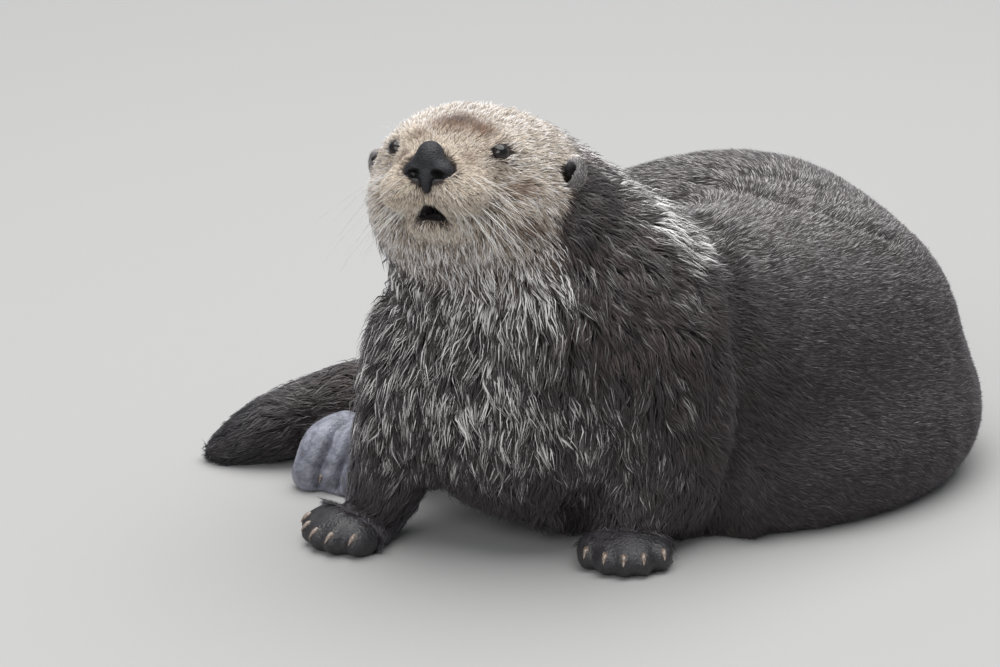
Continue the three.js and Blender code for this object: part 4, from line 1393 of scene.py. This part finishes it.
class OTTER_OT_claws(bpy.types.Operator):
    """Makes the claws: short curved ones on the forepaws and small ones on the hind toes"""

    bl_idname = "otter.claws"
    bl_label = "Claws"

    def execute(self, context):
        reach = context.scene.otter_sizes.claw_length * 1000
        points, faces = joined([*self.of_forepaws(reach), *self.of_hind_feet()])
        points[:, 2] = np.maximum(points[:, 2], 0.4)
        ready(new_object("claws", mesh_of("claws", to_row(points), faces)), "paw_skin", claw_material())
        return {"FINISHED"}

    def of_forepaws(self, reach):
        made = []
        for paw in (RIGHT_PAW, LEFT_PAW):
            for i in range(TOES):
                x, y, turn = toe_place(i)
                way = np.array((math.sin(math.radians(turn)), -math.cos(math.radians(turn)), 0))
                root = np.array((x, y, 18.5)) + way * 14
                t = np.linspace(0, 1, 9)[:, None]
                line = root + way * reach * t + np.array((0, 0, 1)) * (1.5 * t - 6.5 * t * t)
                made.append(tube(placed(paw, line), 2.5 * (1 - t[:, 0] ** 1.8) + 0.3, 10))
        return made

    def of_hind_feet(self):
        made = []
        for foot in (RIGHT_FOOT, LEFT_FOOT):
            for toe in foot_spread(*foot):
                bend, tip = (np.array(station[:3], float) for station in toe[2:])
                thick = toe[3][3]
                way = unit(tip - bend)
                out = unit(np.cross(np.cross(way, (0, 0, 1)), way))
                root = tip + out * thick * 0.72 + way * thick * 0.35
                t = np.linspace(0, 1, 7)[:, None]
                line = root + way * 6.5 * t - out * 2.0 * t * t
                made.append(tube(line, 1.7 * (1 - t[:, 0] ** 1.6) + 0.2, 8))
        return made


def whisker_material():
    made, n = new_material("otter_whisker")
    place = n.add("ShaderNodeTexCoord").outputs["Object"]
    tone = n.noise(place, 60.0)
    colour = n.mix(n.step(tone, 0.3, 0.7), rgba((0.62, 0.58, 0.52)), rgba((0.88, 0.86, 0.82)))
    finish_surface(n, {"Base Color": colour, "Roughness": 0.35})
    return made


class OTTER_OT_whiskers(bpy.types.Operator):
    """Makes the pale whiskers of the upper lip and the brows"""

    bl_idname = "otter.whiskers"
    bl_label = "Whiskers"

    def execute(self, context):
        longest = context.scene.otter_sizes.whisker_length * 1000
        rng = np.random.default_rng(21)
        hairs = []
        for s in (-1, 1):
            hairs += self.of_lip(s, longest, rng)
            hairs += self.of_brow(s, rng)
        roots = self.on_coat(placed(HEAD, [root for root, *_ in hairs]), 2.0)
        points, faces = joined([self.hair(root, *hair[1:]) for root, hair in zip(roots, hairs)])
        piece = new_object("whiskers", mesh_of("whiskers", to_row(points), faces))
        ready(piece, "pale_coat", whisker_material())
        return {"FINISHED"}

    def of_lip(self, s, longest, rng):
        """Root in the head's frame, direction, droop, length and thickness of a whisker pad's hairs."""
        made = []
        for row in range(WHISKER_ROWS):
            for column in range(WHISKER_COLUMNS):
                x = s * (16 + 3.6 * column + 1.2 * row + rng.normal(0, 0.8))
                z = -13 - 5.0 * row + rng.normal(0, 0.8)
                y = -108 + 0.016 * x * x - 0.1 * z
                share = rng.uniform(0.35, 1.0) * (0.5 + 0.1 * column)
                way = np.array((s * (0.62 + 0.05 * column), -0.25 + 0.13 * column, -0.30 - 0.12 * row))
                way = turned(HEAD, way + rng.normal(0, 0.09, 3))
                droop = np.array((0, 0.05, -0.24)) + rng.normal(0, 0.06, 3)
                made.append(((x, y, z), unit(way), droop, longest * share, rng.uniform(0.22, 0.36)))
        return made

    def of_brow(self, s, rng):
        """The same of each hair over an eye."""
        made = []
        for _ in range(BROW_WHISKERS):
            x, z = s * 42 + rng.normal(0, 5), 28 + rng.normal(0, 2)
            way = turned(HEAD, (s * 0.5, -0.5, 0.9)) + rng.normal(0, 0.15, 3)
            made.append(((x, -64, z), unit(way), np.array((0, 0.1, -0.5)), rng.uniform(16, 30), 0.2))
        return made

    def on_coat(self, p, sunk):
        """The points of the field's surface nearest points p, sunk into the coat."""
        for _ in range(4):
            value = COAT_FIELD(p)
            grad = slope(COAT_FIELD, p, value)
            p = p - ((value + sunk) / np.maximum((grad * grad).sum(1), 0.2))[:, None] * grad
        return p

    def hair(self, root, way, droop, reach, thick):
        t = np.linspace(0, 1, 9)[:, None]
        line = root + (way * t + droop * t * t) * reach
        return tube(line, thick * (1 - 0.85 * t[:, 0]), 4)


# ---------------------------------------------------------------- coat
COAT_PARTS = ["face", "crown", "ruff", "chest", "shoulder", "flank", "back", "haunch", "legs", "tail"]
LARGEST_PIECE = 190000  # triangles

# One hair or lock of each kind: its points (share along, share of the width to one side, share of the
# width raised), its triangles, and how many times over the locks cover the skin.
HAIR_KINDS = {
    "short": ([(0, -0.5, 0), (0, 0.5, 0), (1, 0, 0)], [(0, 1, 2)], 2.2),
    "face": (
        [(0, -0.5, 0), (0, 0.5, 0), (0.5, -0.42, 0), (0.5, 0.42, 0), (1, 0, 0)],
        [(0, 1, 3), (0, 3, 2), (2, 3, 4)],
        3.0,
    ),
    "long": (
        [(0, -0.5, 0), (0, 0.5, 0), (0.5, -0.42, 0), (0.5, 0, 0.35), (0.5, 0.42, 0), (1, 0, 0)],
        [(0, 1, 3), (0, 3, 2), (1, 4, 3), (2, 3, 5), (3, 4, 5)],
        4.2,
    ),
}
KIND_SIZES = {  # the share of the map's length, width and depth that each kind has
    "short": (0.85, 0.62, 0.9),
    "face": (0.85, 0.46, 1.0),
    "long": (1.0, 0.58, 1.0),
}
POINT_SPACING = {"face": 5.5, "long": 9.0}  # millimetres between the points that locks gather into


def skin_samples(mesh):
    """The skin's triangles: corners in body millimetres, their normals and their places on the unwrap."""
    mesh.calc_loop_triangles()
    count = len(mesh.loop_triangles)
    corners = np.empty(count * 3, np.int32)
    loops = np.empty(count * 3, np.int32)
    mesh.loop_triangles.foreach_get("vertices", corners)
    mesh.loop_triangles.foreach_get("loops", loops)
    p = from_row(mesh_points(mesh))
    normals = np.empty(len(mesh.vertices) * 3, np.float32)
    mesh.vertex_normals.foreach_get("vector", normals)
    uv = np.empty(len(mesh.loops) * 2, np.float32)
    mesh.uv_layers["OFBake"].data.foreach_get("uv", uv)
    corners, loops = corners.reshape(-1, 3), loops.reshape(-1, 3)
    normals = normals.reshape(-1, 3).astype(float)
    return p[corners], normals[corners], uv.reshape(-1, 2)[loops]


def scattered(mesh, density, rng):
    """Roots spread over the skin: places, normals and unwrap places. density gives locks per square
    millimetre at places."""
    corners, normals, uv = skin_samples(mesh)
    area = length(np.cross(corners[:, 1] - corners[:, 0], corners[:, 2] - corners[:, 0])) / 2
    number = rng.poisson(area * density(corners.mean(1)))
    which = np.repeat(np.arange(len(area)), number)
    a, b = rng.random(len(which)), rng.random(len(which))
    over = a + b > 1
    a[over], b[over] = 1 - a[over], 1 - b[over]
    share = np.stack([1 - a - b, a, b], 1)[:, :, None]
    return (
        (corners[which] * share).sum(1),
        unit((normals[which] * share).sum(1)),
        (uv[which] * share).sum(1),
    )


def flattened(ways, normals):
    """Directions laid onto the surface."""
    return unit(ways - (ways * normals).sum(1)[:, None] * normals)


def grow(kind, places, normals, values, rng):
    """The spines of locks: root, middle and tip, and their side directions and widths."""
    count = len(places)
    long_share, wide_share, deep_share = KIND_SIZES[kind]
    loose = np.clip(values["gather"] * 1.4, 0.15, 1)
    along = flattened(values["lie"], normals)
    side = np.cross(along, normals)
    calm = 0.6 if kind == "face" else 1.0
    sway = noise_at(places, 45, 11) * (0.16 + 0.22 * loose)
    sway += noise_at(places, 15, 12) * (0.10 + 0.22 * loose)
    sway *= calm
    along = unit(along + side * (sway + rng.normal(0, 0.08 + 0.10 * loose))[:, None])
    side = np.cross(along, normals)
    reach = values["length"] * long_share * np.clip(rng.lognormal(0, 0.25, count), 0.5, 1.7)
    rise = np.maximum(values["depth"], 0.8) * deep_share * rng.uniform(0.35, 1.05, count)
    proud = rng.random(count) < (0.14 if kind == "face" else 0.06)
    rise[proud] *= 1.6
    bend = (rng.normal(0, 0.05, count) * reach)[:, None] * side
    middle = places + along * (reach * 0.45)[:, None] + normals * (rise * 0.74)[:, None] + bend
    tip = places + along * reach[:, None] + normals * rise[:, None]
    root = places - normals * 0.8
    width = values["width"] * wide_share * np.clip(rng.lognormal(0, 0.30, count), 0.5, 1.9)
    roll = rng.normal(0, 0.40, count)[:, None]
    side = side * np.cos(roll) + normals * np.sin(roll)
    return root, middle, tip, side, width


def gathered(middle, tip, places, values, mesh, spacing, rng):
    """Draws the tips of neighbouring locks together into numbered points, as wet fur does."""
    seeds, _, _ = scattered(mesh, lambda p: np.full(len(p), spacing**-2.0), rng)
    tree = KDTree(len(seeds))
    for i, seed in enumerate(seeds):
        tree.insert(seed, i)
    tree.balance()
    group = np.array([tree.find(p)[1] for p in places])
    sums = np.zeros((len(seeds), 3))
    number = np.zeros(len(seeds))
    np.add.at(sums, group, tip)
    np.add.at(number, group, 1)
    point = (sums / np.maximum(number, 1)[:, None])[group]
    pull = np.clip(values["gather"] * rng.uniform(0.55, 1.2, len(tip)), 0, 0.94)[:, None]
    middle = middle + (point - tip) * pull * 0.22
    return middle, tip + (point - tip) * pull, group


def hair_mesh(name, kind, spine, side, normals, width, marks, lock, uv):
    """One mesh of many locks, each with its marks and its patch on the unwrap round its root's place."""
    template, triangles, _ = HAIR_KINDS[kind]
    template = np.array(template, float)
    stops = [spine[int(round(share * 2))] for share in template[:, 0]]
    points = np.stack([
        stop + side * (width * across)[:, None] + normals * (width * raised)[:, None]
        for stop, (_, across, raised) in zip(stops, template)
    ], 1)
    points[:, :, 2] = np.maximum(points[:, :, 2], 0.4)
    count, each = len(width), len(template)
    faces = (np.arange(count)[:, None, None] * each + np.array(triangles)).reshape(-1, 3)
    mesh = mesh_of(name, to_row(points.reshape(-1, 3)), faces)
    set_colours(mesh, "marks", *(np.repeat(m, each) for m in marks[:3]), np.zeros(count * each))
    chance, wet = lock
    set_colours(mesh, "lock", np.tile(template[:, 0], count), np.repeat(chance, each), np.repeat(wet, each))
    patch = 0.003 * np.stack([template[:, 1], template[:, 0] - 0.5], 1)
    places = (uv[:, None] + patch).reshape(-1, 2)
    layer = mesh.uv_layers.new(name="OFBake")
    layer.data.foreach_set("uv", places[faces.ravel()].astype(np.float32).ravel())
    return mesh


def on_the_head(p):
    """True on the head, in front of its cut from the neck."""
    q = seen_from(HEAD, p)
    return (q[:, 1] * 0.66 - (q[:, 2] + 8) * 0.75 < 29) & (p[:, 2] > 230) & (length(q) < 125)


def part_of_coat(p):
    """Which of COAT_PARTS each place belongs to."""
    q = seen_from(HEAD, p)
    part = np.full(len(p), COAT_PARTS.index("back"))
    part[(p[:, 0] > 150) & (p[:, 1] < 268 + 0.16 * (p[:, 0] - 140))] = COAT_PARTS.index("flank")
    part[p[:, 1] > 380] = COAT_PARTS.index("haunch")
    part[(p[:, 0] < 150) & (p[:, 1] < 200)] = COAT_PARTS.index("shoulder")
    part[(p[:, 0] < 95) & (p[:, 1] < 110)] = COAT_PARTS.index("chest")
    part[(p[:, 2] > 215) & (p[:, 0] < 150) & (p[:, 1] < 230)] = COAT_PARTS.index("ruff")
    part[(p[:, 2] < 70) & (p[:, 1] < 130) & (p[:, 0] < 180)] = COAT_PARTS.index("legs")
    part[(p[:, 0] < -70) & (p[:, 1] > 200)] = COAT_PARTS.index("tail")
    on_head = on_the_head(p)
    part[on_head] = COAT_PARTS.index("crown")
    part[on_head & (q[:, 1] < -20)] = COAT_PARTS.index("face")
    return part


def kind_share(kind, p, values):
    """How much of the coat at places p is of a kind, from 0 to 1."""
    long_share = smooth(0.16, 0.32, values["gather"])
    head = on_the_head(p)
    if kind == "long":
        return np.where(head, 0.0, long_share)
    if kind == "face":
        return np.where(head, 1.0, 0.0)
    return np.where(head, 0.0, 1 - long_share)


def eye_reach(p):
    """How far places are from an eye's opening: 1 at the lids, and large behind the eye."""
    least = np.full(len(p), 9.0)
    for s in (-1, 1):
        centre, forward, side, up = eye_axes(s)
        q = p - centre
        e = lid_measure(q @ side, q @ up)
        least = np.where((q @ forward > 0) & (length(q) < 30), np.minimum(least, e), least)
    return least


def clear_of_face(root, middle, tip):
    """True for locks that leave the eyes, the nose pad, the mouth and the ears clear."""
    clear = (eye_reach(root) > 1.10) & (eye_reach(middle) > 1.07) & (eye_reach(tip) > 1.07)
    clear &= (NOSE_FIELD(root) > 0.6) & (NOSE_FIELD(tip) > 0.4)
    for s in (-1, 1):
        _, shell, _ = ear_shapes(s)
        clear &= (shell(root) > 0.5) & (shell(middle) > 0.5) & (shell(tip) > 0.5)
    return clear & (mouth_share(root) < 0.05) & (mouth_share(middle) < 0.3)


class OTTER_OT_coat(bpy.types.Operator):
    """Grows the coat: short hair on the trunk, fine hair on the head and wet, pointed locks elsewhere"""

    bl_idname = "otter.coat"
    bl_label = "Coat"

    def execute(self, context):
        sizes, colours = context.scene.otter_sizes, context.scene.otter_colours
        skin = bpy.data.objects["skin"]
        material = coat_material(colours)
        fullness = sizes.coat_fullness * 1.0
        for seed, kind in enumerate(HAIR_KINDS):
            self.cover(skin.data, kind, fullness, np.random.default_rng(5 + seed), material)
        return {"FINISHED"}

    def cover(self, mesh, kind, fullness, rng, material):
        long_share, wide_share, _ = KIND_SIZES[kind]
        cover = HAIR_KINDS[kind][2]

        def density(p):
            values = coat_values(p)
            one = values["length"] * long_share * values["width"] * wide_share * 0.55
            return fullness * cover / one * kind_share(kind, p, values) * (bareness(p) < 0.6)

        places, normals, uv = scattered(mesh, density, rng)
        keep = (rng.random(len(places)) > bareness(places)) & (places[:, 2] > 1.5)
        places, normals, uv = places[keep], normals[keep], uv[keep]
        values = coat_values(places)
        root, middle, tip, side, width = grow(kind, places, normals, values, rng)
        group = np.zeros(len(places), int)
        if kind != "short":
            middle, tip, group = gathered(middle, tip, places, values, mesh, POINT_SPACING[kind], rng)
        keep = clear_of_face(root, middle, tip)
        chance = rng.random(len(places))
        if kind != "short":
            chance = 0.68 * chance + 0.32 * rng.random(group.max() + 1)[group]
        marks = markings_and_shade(places)
        wet = np.clip(values["gather"] * 1.3, 0, 1)
        part = part_of_coat(places)
        for index, name in enumerate(COAT_PARTS):
            members = np.nonzero(keep & (part == index))[0]
            pieces = math.ceil(len(members) * len(HAIR_KINDS[kind][1]) / LARGEST_PIECE)
            for k, chosen in enumerate(np.array_split(members, pieces) if pieces else []):
                label = f"coat_{name}_{kind}" + (f"_{k + 1}" if pieces > 1 else "")
                made = hair_mesh(
                    label, kind, (root[chosen], middle[chosen], tip[chosen]), side[chosen], normals[chosen],
                    width[chosen], [m[chosen] for m in marks], (chance[chosen], wet[chosen]), uv[chosen],
                )
                ready(new_object(label, made), self.slot_of(name), material)

    def slot_of(self, name):
        return {"face": "pale_coat", "crown": "pale_coat", "ruff": "grey_coat", "chest": "grey_coat",
                "shoulder": "grey_coat", "legs": "leg_coat"}.get(name, "dark_coat")


# ---------------------------------------------------------------- stage
CAMERA_DROP = math.radians(20)  # how far the camera looks down
CAMERA_RANGE = 4.2  # metres to the body's own zero on the floor
SENSOR_WIDTH = 36.0
PICTURE_WIDTH, PICTURE_HEIGHT = 1000.0, 667.0
PIXELS_PER_METRE = 1230.0  # at that range
AIM_DOWN = 578.0  # how far down the picture that zero stands
FLOOR_REACH = 9.0
LIGHTS = [
    # place, target, width in metres and power in watts
    ("sky", (0.2, 0.4, 3.6), (0.0, 0.1, 0.1), 5.0, 228.0),
    ("front", (-1.8, -3.4, 2.4), (0.0, 0.0, 0.15), 2.6, 52.0),
]


def floor_material(colours):
    made, n = new_material("studio_floor")
    finish_surface(n, {"Base Color": rgba(colours.floor), "Roughness": 0.85, "Specular IOR Level": 0.2})
    return made


class OTTER_OT_stage(bpy.types.Operator):
    """Makes the pale floor, the soft lights and the camera"""

    bl_idname = "otter.stage"
    bl_label = "Stage"

    def execute(self, context):
        colours = context.scene.otter_colours
        made = bmesh.new()
        bmesh.ops.create_grid(made, x_segments=1, y_segments=1, size=FLOOR_REACH)
        mesh = bpy.data.meshes.new("floor")
        made.to_mesh(mesh)
        made.free()
        floor = new_object("floor", mesh)
        mesh.materials.append(floor_material(colours))
        self.camera(context)
        for row in LIGHTS:
            self.light(*row)
        self.world(context)
        context.scene.view_settings.view_transform = "Standard"
        return {"FINISHED"}

    def camera(self, context):
        level, dropped = math.cos(CAMERA_DROP), math.sin(CAMERA_DROP)
        forward, up = np.array((0, level, -dropped)), np.array((0, dropped, level))
        place = up * (AIM_DOWN - PICTURE_HEIGHT / 2) / PIXELS_PER_METRE - forward * CAMERA_RANGE
        data = bpy.data.cameras.new("camera")
        data.sensor_width = SENSOR_WIDTH
        data.lens = SENSOR_WIDTH * PIXELS_PER_METRE * CAMERA_RANGE / PICTURE_WIDTH
        data.clip_end = 60.0
        made = new_object("camera", data)
        made.location = Vector(place + SHIFT)
        made.rotation_euler = (math.pi / 2 - CAMERA_DROP, 0, 0)
        context.scene.camera = made

    def world(self, context):
        """An even pale light from all round."""
        world = bpy.data.worlds.new("studio")
        context.scene.world = world
        world.use_nodes = True
        n = Nodes(world.node_tree)
        sky = n.add("ShaderNodeBackground", {"Color": rgba((0.86, 0.90, 0.95)), "Strength": 0.42})
        out = n.add("ShaderNodeOutputWorld")
        n.tree.links.new(sky.outputs[0], out.inputs["Surface"])

    def light(self, name, place, target, size, power):
        data = bpy.data.lights.new(name, "AREA")
        data.shape = "DISK"
        data.size = size
        data.energy = power
        made = new_object(name, data)
        made.location = place
        made.rotation_euler = (Vector(target) - Vector(place)).to_track_quat("-Z", "Y").to_euler()


# ---------------------------------------------------------------- panel and registering
PIECES = ["skin", "eyes", "nose", "ears", "claws", "whiskers", "coat", "stage"]


class OTTER_PT_panel(bpy.types.Panel):
    """Lists the otter's pieces and its sizes and colours"""

    bl_label = "Sea otter"
    bl_idname = "OTTER_PT_panel"
    bl_space_type = "VIEW_3D"
    bl_region_type = "UI"
    bl_category = "Otter"

    def draw(self, context):
        layout = self.layout
        for group in (context.scene.otter_sizes, context.scene.otter_colours):
            box = layout.box()
            for name in group.__annotations__:
                box.prop(group, name)
        for piece in PIECES:
            layout.operator("otter." + piece)


CLASSES = [
    OtterSizes, OtterColours, OTTER_OT_skin, OTTER_OT_eyes, OTTER_OT_nose, OTTER_OT_ears, OTTER_OT_claws,
    OTTER_OT_whiskers, OTTER_OT_coat, OTTER_OT_stage, OTTER_PT_panel,
]


def register():
    for made in CLASSES:
        bpy.utils.register_class(made)
    bpy.types.Scene.otter_sizes = bpy.props.PointerProperty(type=OtterSizes)
    bpy.types.Scene.otter_colours = bpy.props.PointerProperty(type=OtterColours)


def unregister():
    del bpy.types.Scene.otter_colours
    del bpy.types.Scene.otter_sizes
    for made in reversed(CLASSES):
        bpy.utils.unregister_class(made)


def main():
    register()
    for piece in PIECES:
        getattr(bpy.ops.otter, piece)()


if __name__ == "__main__":
    main()
